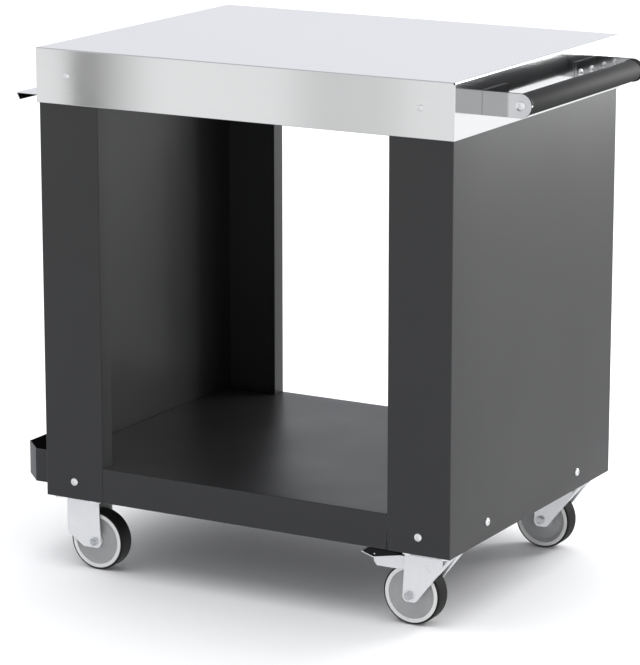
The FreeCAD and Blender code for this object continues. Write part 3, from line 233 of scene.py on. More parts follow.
# %% Write the finish kit
class Finish:
    """A material with one Principled shader, and helpers that add nodes to it."""

    def __init__(self, name, color, roughness, metallic=0.0):
        self.material = bpy.data.materials.new(name)
        self.material.use_nodes = True
        self.nodes = self.material.node_tree.nodes
        self.links = self.material.node_tree.links
        self.shader = self.nodes["Principled BSDF"]
        self.shader.inputs["Base Color"].default_value = (*color, 1)
        self.shader.inputs["Roughness"].default_value = roughness
        self.shader.inputs["Metallic"].default_value = metallic
        self.place = self.nodes.new("ShaderNodeTexCoord").outputs["Object"]

    def stretch(self, scale):
        """The place, with each axis scaled."""
        node = self.nodes.new("ShaderNodeMapping")
        node.inputs["Scale"].default_value = scale
        self.links.new(self.place, node.inputs["Vector"])
        return node.outputs["Vector"]

    def noise(self, scale, detail=3.0, vector=None):
        """Cloudy noise, from 0 to 1."""
        node = self.nodes.new("ShaderNodeTexNoise")
        node.inputs["Scale"].default_value = scale
        node.inputs["Detail"].default_value = detail
        self.links.new(vector or self.place, node.inputs["Vector"])
        return node.outputs["Fac"]

    def spread(self, value, low, high, to_low, to_high):
        """A value moved from one range to another."""
        node = self.nodes.new("ShaderNodeMapRange")
        for name, number in (("From Min", low), ("From Max", high), ("To Min", to_low), ("To Max", to_high)):
            node.inputs[name].default_value = number
        self.links.new(value, node.inputs["Value"])
        return node.outputs["Result"]

    def blend(self, value, first, second):
        """A colour between two colours."""
        node = self.nodes.new("ShaderNodeMix")
        node.data_type = "RGBA"
        node.inputs["A"].default_value = (*first, 1)
        node.inputs["B"].default_value = (*second, 1)
        self.links.new(value, node.inputs["Factor"])
        return node.outputs["Result"]

    def bump(self, value, depth):
        """Small relief, as deep as depth in metres."""
        node = self.nodes.new("ShaderNodeBump")
        node.inputs["Distance"].default_value = depth
        previous = self.shader.inputs["Normal"].links
        if previous:
            self.links.new(previous[0].from_socket, node.inputs["Normal"])
        self.links.new(value, node.inputs["Height"])
        self.links.new(node.outputs["Normal"], self.shader.inputs["Normal"])

    def set(self, **sockets):
        """Link or set sockets of the shader by name."""
        for name, value in sockets.items():
            socket = self.shader.inputs[name.replace("_", " ").title().replace("Ior", "IOR")]
            if isinstance(value, bpy.types.NodeSocket):
                self.links.new(value, socket)
            else:
                socket.default_value = value


print("finish kit ready")

# %% [markdown]
# ## The floor
#
# A studio floor is a pale sheet that runs out of the picture on all sides. It isn't part
# of the table. It is lit until it prints as pure white.
# Polished steel would mirror that white and lose its shape, so reflections don't see the
# floor. They see the calmer sky below the horizon instead.

# %% Lay the floor
FLOOR_HALF = 60.0
FLOOR_HEIGHT = -0.0005
SQUARE = ((-1, -1), (1, -1), (1, 1), (-1, 1))
floor_corners = [(x * FLOOR_HALF, y * FLOOR_HALF, FLOOR_HEIGHT) for x, y in SQUARE]
floor = new_mesh_object("floor", floor_corners, [(0, 1, 2, 3)])
floor.visible_glossy = False
floor_finish = Finish("floor_paper", (0.93, 0.93, 0.935), roughness=0.9)
paper_cloud = floor_finish.noise(0.8)
floor_finish.set(
    base_color=floor_finish.blend(paper_cloud, (0.925, 0.925, 0.93), (0.935, 0.935, 0.94)),
)
floor.data.materials.append(floor_finish.material)
print("floor:", 2 * FLOOR_HALF, "m wide")

# %% [markdown]
# ## The room
#
# The room is brighter to the right and behind than in front, so the right side of the
# table catches more light than its front. A sky that changes with direction gives that,
# and it darkens straight overhead, which leaves a fine grey line along rounded edges.
# From left to right its tint turns from a cool white to a nearly neutral one.

# %% Paint the sky
world = bpy.data.worlds.new("studio")
bpy.context.scene.world = world
world.use_nodes = True
sky_nodes, sky_links = world.node_tree.nodes, world.node_tree.links
direction = sky_nodes.new("ShaderNodeTexCoord").outputs["Generated"]
apart = sky_nodes.new("ShaderNodeSeparateXYZ")
sky_links.new(direction, apart.inputs[0])


def sky_math(operation, first, second):
    """One sum of the sky's brightness."""
    node = sky_nodes.new("ShaderNodeMath")
    node.operation = operation
    for socket, value in zip(node.inputs, (first, second)):
        if isinstance(value, bpy.types.NodeSocket):
            sky_links.new(value, socket)
        else:
            socket.default_value = value
    return node.outputs[0]


SKY_BASE, SKY_RIGHT, SKY_BACK, SKY_OVERHEAD = 0.95, 0.19, 0.06, -0.50
SKY_LEAST = 0.05
TINT_LEFT, TINT_RIGHT, TINT_MIDDLE = (0.93, 0.945, 1.0, 1), (0.985, 0.99, 1.0, 1), 0.6
brightness = sky_math("MULTIPLY", apart.outputs["X"], SKY_RIGHT)
brightness = sky_math("ADD", brightness, sky_math("MULTIPLY", apart.outputs["Y"], SKY_BACK))
steep = sky_math("MULTIPLY", apart.outputs["Z"], apart.outputs["Z"])
brightness = sky_math("ADD", brightness, sky_math("MULTIPLY", steep, SKY_OVERHEAD))
brightness = sky_math("MAXIMUM", sky_math("ADD", brightness, SKY_BASE), SKY_LEAST)
background = sky_nodes["Background"]
tint = sky_nodes.new("ShaderNodeMix")
tint.data_type = "RGBA"
tint.inputs["A"].default_value = TINT_LEFT
tint.inputs["B"].default_value = TINT_RIGHT
sky_links.new(sky_math("ADD", apart.outputs["X"], TINT_MIDDLE), tint.inputs["Factor"])
sky_links.new(tint.outputs["Result"], background.inputs["Color"])
sky_links.new(brightness, background.inputs["Strength"])
print("sky at the right:", round(SKY_BASE + SKY_RIGHT, 2), "and left:", round(SKY_BASE - SKY_RIGHT, 2))

# %% [markdown]
# ## Lamps
#
# A wide lamp that shines from everywhere overhead lifts the open floor to white and
# leaves only a soft shadow close around the table. Many small lamps could do the same, but
# each would leave its own shadow edge. A small lamp behind the table brightens the far part
# of the right side.

# %% Light the room
def softbox(name, place, aim, size, power):
    """A square lamp that faces a point."""
    data = bpy.data.lights.new(name, "AREA")
    data.size = size
    data.energy = power
    lamp = bpy.data.objects.new(name, data)
    lamp.location = place
    lamp.rotation_euler = (Vector(aim) - Vector(place)).to_track_quat("-Z", "Y").to_euler()
    bpy.context.collection.objects.link(lamp)
    return lamp


def dome(name, tilt, spread, strength):
    """A distant lamp as wide as a cloudy sky, which reflections don't show."""
    data = bpy.data.lights.new(name, "SUN")
    data.angle = math.radians(spread)
    data.energy = strength
    lamp = bpy.data.objects.new(name, data)
    lamp.rotation_euler = [math.radians(turn) for turn in tilt]
    lamp.visible_glossy = False
    bpy.context.collection.objects.link(lamp)
    return lamp


dome("ceiling_light", tilt=(-7, -17, 0), spread=95, strength=2.45)
softbox("rear_lamp", place=(1.15, 1.6, 1.0), aim=(0.377, 0.2, 0.6), size=0.8, power=20)
bpy.context.scene.view_settings.view_transform = "Standard"
print("lamps:", len(bpy.data.lights))

# %% [markdown]
# ## The reflector board
#
# Polished steel shows what stands around it. A photographer puts a long board in front of
# such a tray, and its grey bands turn into the soft streaks that make the sheet read as
# metal. The bands could be painted into the steel itself, but then they would stay put as
# the table turns. Here a board glows in soft bands, and only reflections can see it. A
# smaller grey board, which photographers call a flag, stands to the right: the front arm
# of the handle shows it, by way of the tray's side. A darker flag behind the table keeps
# the walls of the bay deep and dark.

# %% Hang the boards
BOARD_Y, DARK_FLAG_Y = -1.8, 0.9
LONG_BANDS = [
    (-2.60, 0.87), (-1.335, 0.87), (-1.310, 0.29), (-1.255, 0.30), (-1.190, 0.66), (-1.10, 0.88),
    (-0.80, 0.86), (-0.70, 0.66), (-0.55, 0.70), (-0.47, 0.84), (-0.336, 0.86),
]
GREY_FLAG_BANDS = [(0.95, 0.60), (1.70, 0.56)]
DARK_FLAG_BANDS = [(0.14, 0.40), (0.22, 0.14), (0.51, 0.14)]


def hang_board(name, y, low, high, bands):
    """An upright board whose glow runs from band to band, each given as (x, brightness)."""
    left, right = bands[0][0], bands[-1][0]
    corners = [(left, y, low), (right, y, low), (right, y, high), (left, y, high)]
    board = new_mesh_object(name, corners, [(0, 1, 2, 3)])
    board.visible_camera = False
    board.visible_diffuse = False
    board.visible_shadow = False
    glow = Finish(name, (0, 0, 0), roughness=1.0)
    glow.set(specular_ior_level=0.0, emission_strength=1.0)
    along = glow.nodes.new("ShaderNodeSeparateXYZ")
    glow.links.new(glow.place, along.inputs[0])
    ramp = glow.nodes.new("ShaderNodeValToRGB")
    stops = ramp.color_ramp.elements
    stops.remove(stops[-1])
    stops[0].color = (bands[0][1], bands[0][1], bands[0][1], 1)
    for x, tone in bands[1:]:
        stops.new((x - left) / (right - left)).color = (tone, tone, tone, 1)
    glow.links.new(glow.spread(along.outputs["X"], left, right, 0, 1), ramp.inputs["Fac"])
    glow.set(emission_color=ramp.outputs["Color"])
    board.data.materials.append(glow.material)


hang_board("reflector_board", BOARD_Y, low=0.02, high=1.7, bands=LONG_BANDS)
hang_board("grey_flag", BOARD_Y, low=0.1, high=1.0, bands=GREY_FLAG_BANDS)
hang_board("dark_flag", DARK_FLAG_Y, low=0.0, high=0.95, bands=DARK_FLAG_BANDS)
print("bands:", len(LONG_BANDS) + len(GREY_FLAG_BANDS) + len(DARK_FLAG_BANDS))

# %% [markdown]
# ## Powder coat
#
# The panels, shelf and pocket are steel sheet with a baked powder coat: nearly black,
# matt, and finely pebbled like orange peel. Paint could be a flat dark colour, but then
# large panels look like cut-outs. Two sizes of noise give the pebbled relief, and a slow
# cloud varies the tone a little, as light does on a real coat.

# %% Make the powder coat
powder_coat = Finish("powder_coat", (0.018, 0.0183, 0.019), roughness=0.36)
cloud = powder_coat.noise(5.0)
powder_coat.set(
    base_color=powder_coat.blend(cloud, (0.015, 0.0152, 0.016), (0.021, 0.0213, 0.022)),
    roughness=powder_coat.spread(cloud, 0.3, 0.7, 0.33, 0.40),
)
powder_coat.bump(powder_coat.noise(650.0, detail=2.0), depth=0.00005)
powder_coat.bump(powder_coat.noise(2200.0, detail=1.0), depth=0.00002)
print("powder coat: dark grey, fine pebbles")

# %% [markdown]
# ## Polished stainless steel
#
# The tray, the handle arms and the rack are stainless sheet. The polish mirrors the room
# softly and still holds the faint straight lines of the grinding belt. A mirror with a
# plain roughness would look like glass. Noise that is stretched along one axis gives the
# belt lines, and a slow cloud gives the smears that hands and cloths leave.

# %% Make the stainless finishes
ALONG_X, ALONG_Y = (8.0, 900.0, 900.0), (900.0, 8.0, 900.0)


def stainless(name, grain, roughness, light=0.84):
    """Polished sheet with belt lines. grain scales each axis; the small one runs along the lines."""
    finish = Finish(name, (light, light, light), roughness, metallic=1.0)
    lines = finish.noise(1.0, detail=4.0, vector=finish.stretch(grain))
    smears = finish.noise(6.0, detail=4.0)
    finish.set(roughness=finish.spread(smears, 0.3, 0.75, roughness - 0.02, roughness + 0.04))
    darker = (light - 0.03, light - 0.025, light - 0.02)
    lighter = (light + 0.03, light + 0.035, light + 0.045)
    finish.set(base_color=finish.blend(lines, darker, lighter))
    finish.bump(lines, depth=0.000003)
    finish.bump(finish.noise(9.0, detail=1.0), depth=0.00012)
    return finish


tray_steel = stainless("tray_steel", ALONG_X, roughness=0.08)
arm_steel = stainless("arm_steel", ALONG_X, roughness=0.10, light=0.72)
rack_steel = stainless("rack_steel", ALONG_Y, roughness=0.08)
rib_steel = stainless("rib_steel", ALONG_X, roughness=0.3)
for steel in (tray_steel, arm_steel, rack_steel, rib_steel):
    print("finish:", steel.material.name)

# %% [markdown]
# ## Zinc, plastic and rubber
#
# Casters and screws are zinc plated: bright, a little milky, with faint cloudy patches.
# The wheel centre and its covers are moulded plastic, the tread is a solid black tyre. Both
# families could be one material with many settings, but zinc has clouds and plastic has
# grain, so each gets a short recipe of its own.

# %% Write the recipes for zinc and plastic
def zinc(name, roughness, dark=(0.82, 0.83, 0.84), light=(0.92, 0.925, 0.93), metal=0.8):
    """Bright zinc plate with milky patches."""
    finish = Finish(name, light, roughness, metallic=metal)
    patches = finish.noise(90.0, detail=4.0)
    finish.set(
        base_color=finish.blend(patches, dark, light),
        roughness=finish.spread(patches, 0.3, 0.7, roughness - 0.05, roughness + 0.08),
    )
    finish.bump(finish.noise(1500.0, detail=2.0), depth=0.000006)
    return finish


def moulded(name, dark, light, roughness, grain=1800.0, depth=0.00002, shine=0.5):
    """Moulded plastic or rubber with a fine spark-eroded grain."""
    finish = Finish(name, light, roughness)
    finish.set(base_color=finish.blend(finish.noise(40.0), dark, light), specular_ior_level=shine)
    finish.bump(finish.noise(grain, detail=2.0), depth)
    return finish


print("recipes: zinc, moulded")

# %% [markdown]
# ## Finishes for the small pieces
#
# The same zinc looks duller on a pressed fork than on a turned screw, and the tyre and the
# grip swallow more light than the wheel. Each piece gets its own dark and light colour,
# roughness and shine. The last one is for the cut rims of the arms and the inner side of the
# rack: they are duller than the polish, and their near-black colour is painted shade.

# %% Make the finishes of the small pieces
caster_zinc = zinc("caster_zinc", roughness=0.38, metal=0.62)
screw_zinc = zinc("screw_zinc", 0.26, (0.83, 0.84, 0.85), (0.93, 0.935, 0.94))
# The axle bolts' zinc is darker than the other zinc: painted shade that stands for the shading of their hex heads.
painted_shade_axle_zinc = zinc("painted_shade_axle_zinc", 0.22, (0.50, 0.51, 0.52), (0.60, 0.61, 0.62))
wheel_plastic = moulded("wheel_plastic", (0.68, 0.68, 0.67), (0.74, 0.74, 0.73), 0.42)
cover_plastic = moulded("cover_plastic", (0.32, 0.32, 0.325), (0.37, 0.37, 0.375), 0.5)
black_plastic = moulded("black_plastic", (0.003, 0.003, 0.004), (0.006, 0.006, 0.007), 0.5, shine=0.2)
tyre_rubber = moulded("tyre_rubber", (0.009, 0.009, 0.009), (0.013, 0.013, 0.013), 0.6, shine=0.15)
grip_coat = moulded("grip_coat", (0.017, 0.0173, 0.018), (0.022, 0.0225, 0.023), 0.65, 1400.0, shine=0.2)
# Painted shade: a near-black, non-metal colour for the arms' cut rims and the rack's inner side, which are really
# shaded steel.
painted_shade_finish = moulded("painted_shade_finish", (0.010, 0.010, 0.011), (0.016, 0.016, 0.016), 0.7, 900.0, shine=0.08)
print("materials so far:", len(bpy.data.materials))

# %% [markdown]
# ## One finish for each node
#
# Each node of the frame is one piece or one set of screws, and its name says which. The
# finishes could be given node by node. A short list of name beginnings does it for all four
# casters and both sides at once, and what it doesn't name is powder coated.

# %% Give each node its finish
FINISHES = {
    "worktop": tray_steel,
    "handle_arm": arm_steel,
    "tool_rack": rack_steel,
    "worktop_rib": rib_steel,
    "handle_tube": grip_coat,
    "handle_plug": black_plastic,
    "pedal_cap": black_plastic,
    "wheel_centre": wheel_plastic,
    "wheel_covers": cover_plastic,
    "tyre": tyre_rubber,
    "caster_plate": caster_zinc,
    "caster_fork": caster_zinc,
    "caster_axle": painted_shade_axle_zinc,
    "pedal_lever": caster_zinc,
    "pedal_pin": caster_zinc,
    "caster_bolts": screw_zinc,
    "handle_bolts": screw_zinc,
    "arm_screws": screw_zinc,
    "pocket_screws": screw_zinc,
    "side_screws": screw_zinc,
    "column_screws": screw_zinc,
    "worktop_screws": screw_zinc,
}
NODE_BODY = {node: body for body, nodes in frame["record"]["behaviour"]["bodies"].items() for node in nodes}


def finish_for(node):
    """The finish with the longest name that the node's name starts with, or else powder coat."""
    fitting = [word for word in FINISHES if node.startswith(word)]
    return FINISHES[max(fitting, key=len)] if fitting else powder_coat


def stand_for(piece, node):
    """Give a new piece the finish, body and slot of the node that it replaces."""
    piece.data.materials.clear()
    piece.data.materials.append(finish_for(node).material)
    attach(piece, NODE_BODY[node])
    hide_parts(node)
    return piece


for name, part in frame["nodes"].items():
    for place in part.material_slots:
        place.material = finish_for(name).material
print("finished nodes:", len(frame["nodes"]))

# %% [markdown]
# ## Deburred sheet edges
#
# The panels come from the frame with knife-sharp edges. On the real table every cut edge is
# deburred and the coat or the plating rounds it further, and that thin round edge is what
# catches the light. A bevel in the shader would only fake it. A copy of the frame's mesh,
# with its flat triangles merged and a real bevel of a few tenths of a millimetre, shows it
# from every side and close up.

# %% Write the deburring
MERGE_DISTANCE = 0.000002
FLAT_ANGLE = math.radians(1.0)
EDGE_ANGLE = math.radians(35)
EDGE_STEPS = 3


def deburr(node, width):
    """A copy of a frame node with rounded edges, which stands for the node."""
    source = frame["nodes"][node].data
    mesh = bmesh.new()
    mesh.from_mesh(source)
    bmesh.ops.remove_doubles(mesh, verts=mesh.verts, dist=MERGE_DISTANCE)
    bmesh.ops.dissolve_limit(mesh, angle_limit=FLAT_ANGLE, verts=mesh.verts, edges=mesh.edges)
    bmesh.ops.recalc_face_normals(mesh, faces=mesh.faces)
    verts = [point.co.copy() for point in mesh.verts]
    faces = [[point.index for point in face.verts] for face in mesh.faces]
    mesh.free()
    piece = new_mesh_object(node + "_deburred", verts, faces)
    bevel = piece.modifiers.new("deburr", "BEVEL")
    bevel.width = width
    bevel.segments = EDGE_STEPS
    bevel.limit_method = "ANGLE"
    bevel.angle_limit = EDGE_ANGLE
    bevel.harden_normals = True
    return stand_for(piece, node)


print("edges are deburred from", round(math.degrees(EDGE_ANGLE)), "degrees")

# %% [markdown]
# ## Every sheet gets its edge
#
# Thin sheet keeps a fine edge, and the thick handle arms are rounded more. The cut rims
# of the arms, with their rounded edges, and the inner side of the rack never met the
# polishing belt, so they are duller; their near-black colour is painted shade. The shelf's
# two aprons end so close to the columns that only a hairline shows, so both are drawn a
# little longer than in the frame.

# %% Round the edges of the sheets
SHEET_EDGES = {
    "side_panel": 0.0003,
    "lower_shelf": 0.0003,
    "caster_pan": 0.0006,
    "tool_pocket": 0.0004,
    "tool_rack": 0.0004,
    "worktop_rib": 0.0003,
    "shelf_rib": 0.0003,
    "handle_arm": 0.0015,
    "caster_plate": 0.0006,
    "caster_fork": 0.0007,
    "pedal_lever": 0.0005,
}
SHELF_END, APRON_DEPTH, SEAM_TAKEN, NEAR_END = 0.2647, 0.293, 0.0007, 0.0005
PLATE_FACE, INNER_TILT = 0.999, 0.3


def paint_shade_on_faces(piece, is_shaded):
    """Paint shade on the faces that the test picks by their normal: the near-black finish of a cut rim or inner
    side.
    """
    piece.data.materials.append(painted_shade_finish.material)
    for face in piece.data.polygons:
        if is_shaded(face.normal):
            face.material_index = 1


def tighten_seams(shelf):
    """Bring the ends of both shelf aprons closer to the columns."""
    for point in shelf.data.vertices:
        if abs(abs(point.co.x) - SHELF_END) < NEAR_END and abs(point.co.y) > APRON_DEPTH:
            point.co.x += math.copysign(SEAM_TAKEN, point.co.x)


deburred = []
for node in sorted(frame["nodes"]):
    for word, width in SHEET_EDGES.items():
        if node.startswith(word):
            deburred.append(deburr(node, width))
for piece in deburred:
    if piece.name.startswith("handle_arm"):
        # Painted shade: the near-black finish goes on the arms' cut rims and rounded edges, and on the rack's
        # inner side.
        paint_shade_on_faces(piece, lambda normal: max(abs(normal.x), abs(normal.y)) < PLATE_FACE)
        piece.modifiers["deburr"].material = 1
    if piece.name.startswith("lower_shelf"):
        tighten_seams(piece)
    if piece.name.startswith("tool_rack"):
        paint_shade_on_faces(piece, lambda normal: normal.x > INNER_TILT or normal.z < -INNER_TILT)
print("deburred sheets:", len(deburred))

# %% [markdown]
# ## Button-head screws
#
# The sheets are joined by low, round screws with a six-sided socket, and nuts behind the
# sheet. At arm's length a screw reads as a bright dot with a dark middle, so the socket
# has to be a real hole. A Boolean could cut it, but rings do it in one go: the dome's rings
# turn into six-sided rings at the socket's rim and then run down to its floor.

# %% Write a screw and a nut
SCREW_KINDS = {
    "small": {"head": 0.0105, "rise": 0.0028, "shank": 0.005, "length": 0.014, "socket": 0.003,
              "nut": 0.008, "nut_height": 0.004},
    "body": {"head": 0.0135, "rise": 0.0034, "shank": 0.006, "length": 0.018, "socket": 0.004,
             "nut": 0.010, "nut_height": 0.005},
    "handle": {"head": 0.016, "rise": 0.0044, "shank": 0.008, "length": 0.028, "socket": 0.005},
}
TIP_RADIUS, TIP_RISE = 0.7, 0.3
HEAD_EDGE, HEAD_WALL = 0.0002, 0.22
DOME_STEPS = (0.36, 0.52, 0.66, 0.78, 0.88, 0.95, 0.99)
DOME_REACH, DOME_POWER = 0.94, 2.6
SOCKET_RIM, SOCKET_FLOOR, DRILL_RADIUS, DRILL_FLOOR = 0.66, 0.3, 0.1, 0.16
CHAMFER_START, CHAMFER_FALL, COUNTERSINK = 0.97, 0.58, 0.0004
THREAD_PITCH, THREAD_DEPTH, THREAD_GAP, STUD_TIP = 0.001, 0.0003, 0.00002, 0.5


def add_screw(pattern, place, kind):
    """A button-head screw whose seat is at the placing point and whose head looks along it."""
    half, rise = kind["head"] / 2, kind["rise"]
    core = kind["shank"] / 2
    tip = -kind["length"]
    rings = [ring(core * TIP_RADIUS, tip), ring(core, tip + core * TIP_RISE), ring(core, 0)]
    rings += [ring(half - HEAD_EDGE, 0), ring(half, HEAD_EDGE), ring(half, rise * HEAD_WALL)]
    for share in DOME_STEPS:
        rings.append(ring(half * math.sqrt(1 - (share * DOME_REACH) ** DOME_POWER), rise * share))
    rings.append(ring(kind["socket"] * SOCKET_RIM, rise))
    rings.append(hex_ring(kind["socket"], rise - HEAD_EDGE))
    rings.append(hex_ring(kind["socket"], rise * SOCKET_FLOOR))
    rings.append(ring(kind["socket"] * DRILL_RADIUS, rise * DRILL_FLOOR))
    pattern.add(rings, place)


def add_nut(pattern, place, across_flats, height, bore):
    """A hexagon nut with both faces chamfered and a countersunk thread."""
    inner = across_flats / 2 * CHAMFER_START
    low = [Vector((p.x, p.y, -p.z)) for p in hex_ring(across_flats, 0, inner, CHAMFER_FALL)]
    rings = [ring(bore, COUNTERSINK), ring(bore + COUNTERSINK, 0), ring(inner, 0), low]
    rings += [hex_ring(across_flats, height, inner, CHAMFER_FALL), ring(inner, height)]
    rings += [ring(bore + COUNTERSINK, height), ring(bore, height - COUNTERSINK)]
    pattern.add(rings, place, wrap=True)


def add_stud(pattern, place, radius, length):
    """The threaded end that stands out of a nut, with a groove for each turn."""
    rings = [ring(radius * STUD_TIP, 0)]
    turns = int(length / THREAD_PITCH)
    for turn in range(turns):
        start = turn * THREAD_PITCH
        rings.append(ring(radius - THREAD_DEPTH, start))
        rings.append(ring(radius, start + THREAD_PITCH / 2))
    rings.append(ring(radius - THREAD_DEPTH, turns * THREAD_PITCH))
    rings.append(ring(radius * STUD_TIP, length))
    pattern.add(rings, place)


print("screw kinds:", ", ".join(SCREW_KINDS))

# %% [markdown]
# ## Where the screws sit
#
# A screw sits flat on the outer face of its sheet, and its nut behind the last sheet that it
# holds. Both places follow from the faces of the tray and the body and from how thick the
# stack of sheets is. Screws could be copied by hand, but lists of places keep rows straight.

# %% Put the screws in their places
TRAY_X, TRAY_Y, TRAY_SCREW_Z = 0.380, 0.300, 0.832
BODY_X, BODY_Y, FOOT_SCREW_Z = 0.3767, 0.2967, 0.154
COLUMN_X, POCKET_SCREW_Z = 0.3212, 0.164
RACK_SHEET, POCKET_SHEET, ARM_SHEET = 0.0015, 0.0015, 0.004
GRIP_X, TUBE_HALF, PLUG_COLLAR = 0.445, 0.2005, 0.004
ARM_OUTER_Y = TUBE_HALF + PLUG_COLLAR + ARM_SHEET
TRAY_STACK, COLUMN_STACK, SIDE_STACK = 0.0053, 0.0052, 0.0074
LEFT, RIGHT, FRONT, REAR = (-1, 0, 0), (1, 0, 0), (0, -1, 0), (0, 1, 0)


def column_places(y, z):
    """One place on each column, in front and behind."""
    fronts = [((x, -y, z), FRONT) for x in (-COLUMN_X, COLUMN_X)]
    rears = [((x, y, z), REAR) for x in (-COLUMN_X, COLUMN_X)]
    return fronts + rears


def side_places(x, way, steps, z):
    """Places along one side."""
    return [((x, y, z), way) for y in steps]


RACK_STEPS, ARM_STEPS = (-0.190, 0, 0.190), (-0.181, -0.138, 0.138, 0.181)
SIDE_STEPS, POCKET_STEPS = (-0.167, 0.167), (-0.256, 0.256)
SCREW_SETS = {
    "worktop_screws": [
        ("small", TRAY_STACK, column_places(TRAY_Y, TRAY_SCREW_Z)),
        ("small", TRAY_STACK + RACK_SHEET,
         side_places(-TRAY_X - RACK_SHEET, LEFT, RACK_STEPS, TRAY_SCREW_Z)),
    ],
    "arm_screws": [
        ("body", TRAY_STACK + ARM_SHEET, side_places(TRAY_X + ARM_SHEET, RIGHT, ARM_STEPS, TRAY_SCREW_Z)),
    ],
    "column_screws": [("body", COLUMN_STACK, column_places(BODY_Y, FOOT_SCREW_Z))],
    "side_screws": [
        ("body", SIDE_STACK, side_places(BODY_X, RIGHT, SIDE_STEPS, FOOT_SCREW_Z)),
        ("body", SIDE_STACK, side_places(-BODY_X, LEFT, SIDE_STEPS, FOOT_SCREW_Z)),
    ],
    "pocket_screws": [
        ("body", SIDE_STACK + POCKET_SHEET,
         side_places(-BODY_X - POCKET_SHEET, LEFT, POCKET_STEPS, POCKET_SCREW_Z)),
    ],
    "handle_bolts": [
        ("handle", None, side_places(GRIP_X, FRONT, (-ARM_OUTER_Y,), TRAY_SCREW_Z)),
        ("handle", None, side_places(GRIP_X, REAR, (ARM_OUTER_Y,), TRAY_SCREW_Z)),
    ],
}
for node, groups in SCREW_SETS.items():
    pattern = Pattern()
    for kind_name, stack, places in groups:
        kind = SCREW_KINDS[kind_name]
        for spot, way in places:
            add_screw(pattern, facing(*spot, way), kind)
            if stack is not None:
                behind = facing(*(Vector(spot) - Vector(way) * (stack + kind["nut_height"])), way)
                add_nut(pattern, behind, kind["nut"], kind["nut_height"], kind["shank"] / 2 + THREAD_GAP)
    stand_for(pattern.build(node + "_turned"), node)
print("screw sets:", len(SCREW_SETS))

# %% [markdown]
# ## The handle
#
# The grip is a 35 mm steel tube between two flat arms, with a plastic plug in each end.
# The plug's collar is a little wider than the tube and its edges are rounded, so a thin
# shadow line shows where it ends. Both are turned pieces, made from a rounded outline.

# %% Make the grip tube and its plugs
GRIP_Z = TRAY_SCREW_Z
TUBE_RADIUS, TUBE_WALL = 0.0175, 0.0015
PLUG_RADIUS, PLUG_DEPTH, PLUG_PLAY = 0.0185, 0.022, 0.0002
BOLT_BORE = SCREW_KINDS["handle"]["shank"] / 2 + THREAD_GAP
GRIP_POINTS = 96

along_grip = facing(GRIP_X, 0, GRIP_Z, REAR)
tube_outline = rounded([
    (TUBE_RADIUS - TUBE_WALL, -TUBE_HALF),
    (TUBE_RADIUS, -TUBE_HALF),
    (TUBE_RADIUS, TUBE_HALF),
    (TUBE_RADIUS - TUBE_WALL, TUBE_HALF),
], radius=0.0004, steps=2)
grip = Pattern().turn(tube_outline, along_grip, GRIP_POINTS).build("grip_tube")
stand_for(grip, "handle_tube")

for node, way in (("handle_plug_front", FRONT), ("handle_plug_rear", REAR)):
    stem = TUBE_RADIUS - TUBE_WALL - PLUG_PLAY
    plug_outline = rounded([
        (BOLT_BORE, TUBE_HALF - PLUG_DEPTH),
        (stem, TUBE_HALF - PLUG_DEPTH),
        (stem, TUBE_HALF),
        (PLUG_RADIUS, TUBE_HALF),
        (PLUG_RADIUS, TUBE_HALF + PLUG_COLLAR),
        (BOLT_BORE, TUBE_HALF + PLUG_COLLAR),
    ], radius=0.0008, steps=3)
    plug = Pattern().turn(plug_outline, facing(GRIP_X, 0, GRIP_Z, way), GRIP_POINTS).build(node + "_moulded")
    stand_for(plug, node)
print("grip length:", round(2 * (TUBE_HALF + PLUG_COLLAR), 3))

# %% [markdown]
# ## The casters' seats
#
# Each caster turns under its own plate, and the wheel trails behind the turning axis. The
# places could be typed in once more. They are read from the joints of the frame instead, so
# that every caster piece stands on its own axis. The two left casters look the other way.

# %% Find the casters
SEAT_HEIGHT, TRAIL, TYRE_RADIUS = 0.128, 0.032, 0.050
AXLE_DROP = SEAT_HEIGHT - TYRE_RADIUS
corners = {}
for joint in frame["joints"]:
    if joint["name"].startswith("swivel_"):
        x, y, _ = joint["pos_m"]
        turn = Matrix.Rotation(0 if x > 0 else math.pi, 4, "Z")
        corners[joint["name"].removeprefix("swivel_")] = moved(x, y, SEAT_HEIGHT) @ turn
print("casters:", ", ".join(sorted(corners)))

# %% [markdown]
# ## Wheels
#
# Each wheel has a light plastic centre with a raised rim, a dished cover on either side and
# a thick black tyre. They could be spun from a drawn curve with the Screw modifier. Here the
# outlines are short lists of radius and height with rounded corners, so that the rim, the
# cover and the tyre share the same radii and meet with thin dark joints.
# Each wheel is half a millimetre slimmer to each side than the frame's, so that the skirts
# of the brake pedal pass it with a gap.

# %% Make the wheels
FORK_HALF, FORK_SHEET, BOSS_GAP = 0.022, 0.003, 0.0003
BOSS_HALF = FORK_HALF - FORK_SHEET - BOSS_GAP
AXLE_RADIUS, AXLE_GAP = 0.004, 0.00005
HALF_WIDTH, LIP_WIDTH, WEB_HALF = 0.0155, 0.002, 0.004
BOSS_RADIUS, WELL_RADIUS, RIM_RADIUS, LIP_RADIUS = 0.011, 0.0402, 0.044, 0.0468
COVER_GAP, COVER_HUB, FLAT_START, FLAT_END = 0.0003, 0.0143, 0.0173, 0.0337
COVER_BORE, COVER_EDGE = BOSS_RADIUS + COVER_GAP, WELL_RADIUS - COVER_GAP
COVER_TOP, COVER_DISH, COVER_WALL = 0.0140, 0.0110, 0.0020
TREAD_STEP, SHOULDER_IN, SHOULDER_DROP = 0.0004, 0.0012, 0.0003
CROWN_START, CROWN_FALL, CROWN_HALF = 0.0030, 0.0001, 0.0004
WHEEL_POINTS = 96


def both_sides(quarter):
    """An outline and its mirror image across the middle of the wheel."""
    return quarter + [(r, -h) for r, h in reversed(quarter)]


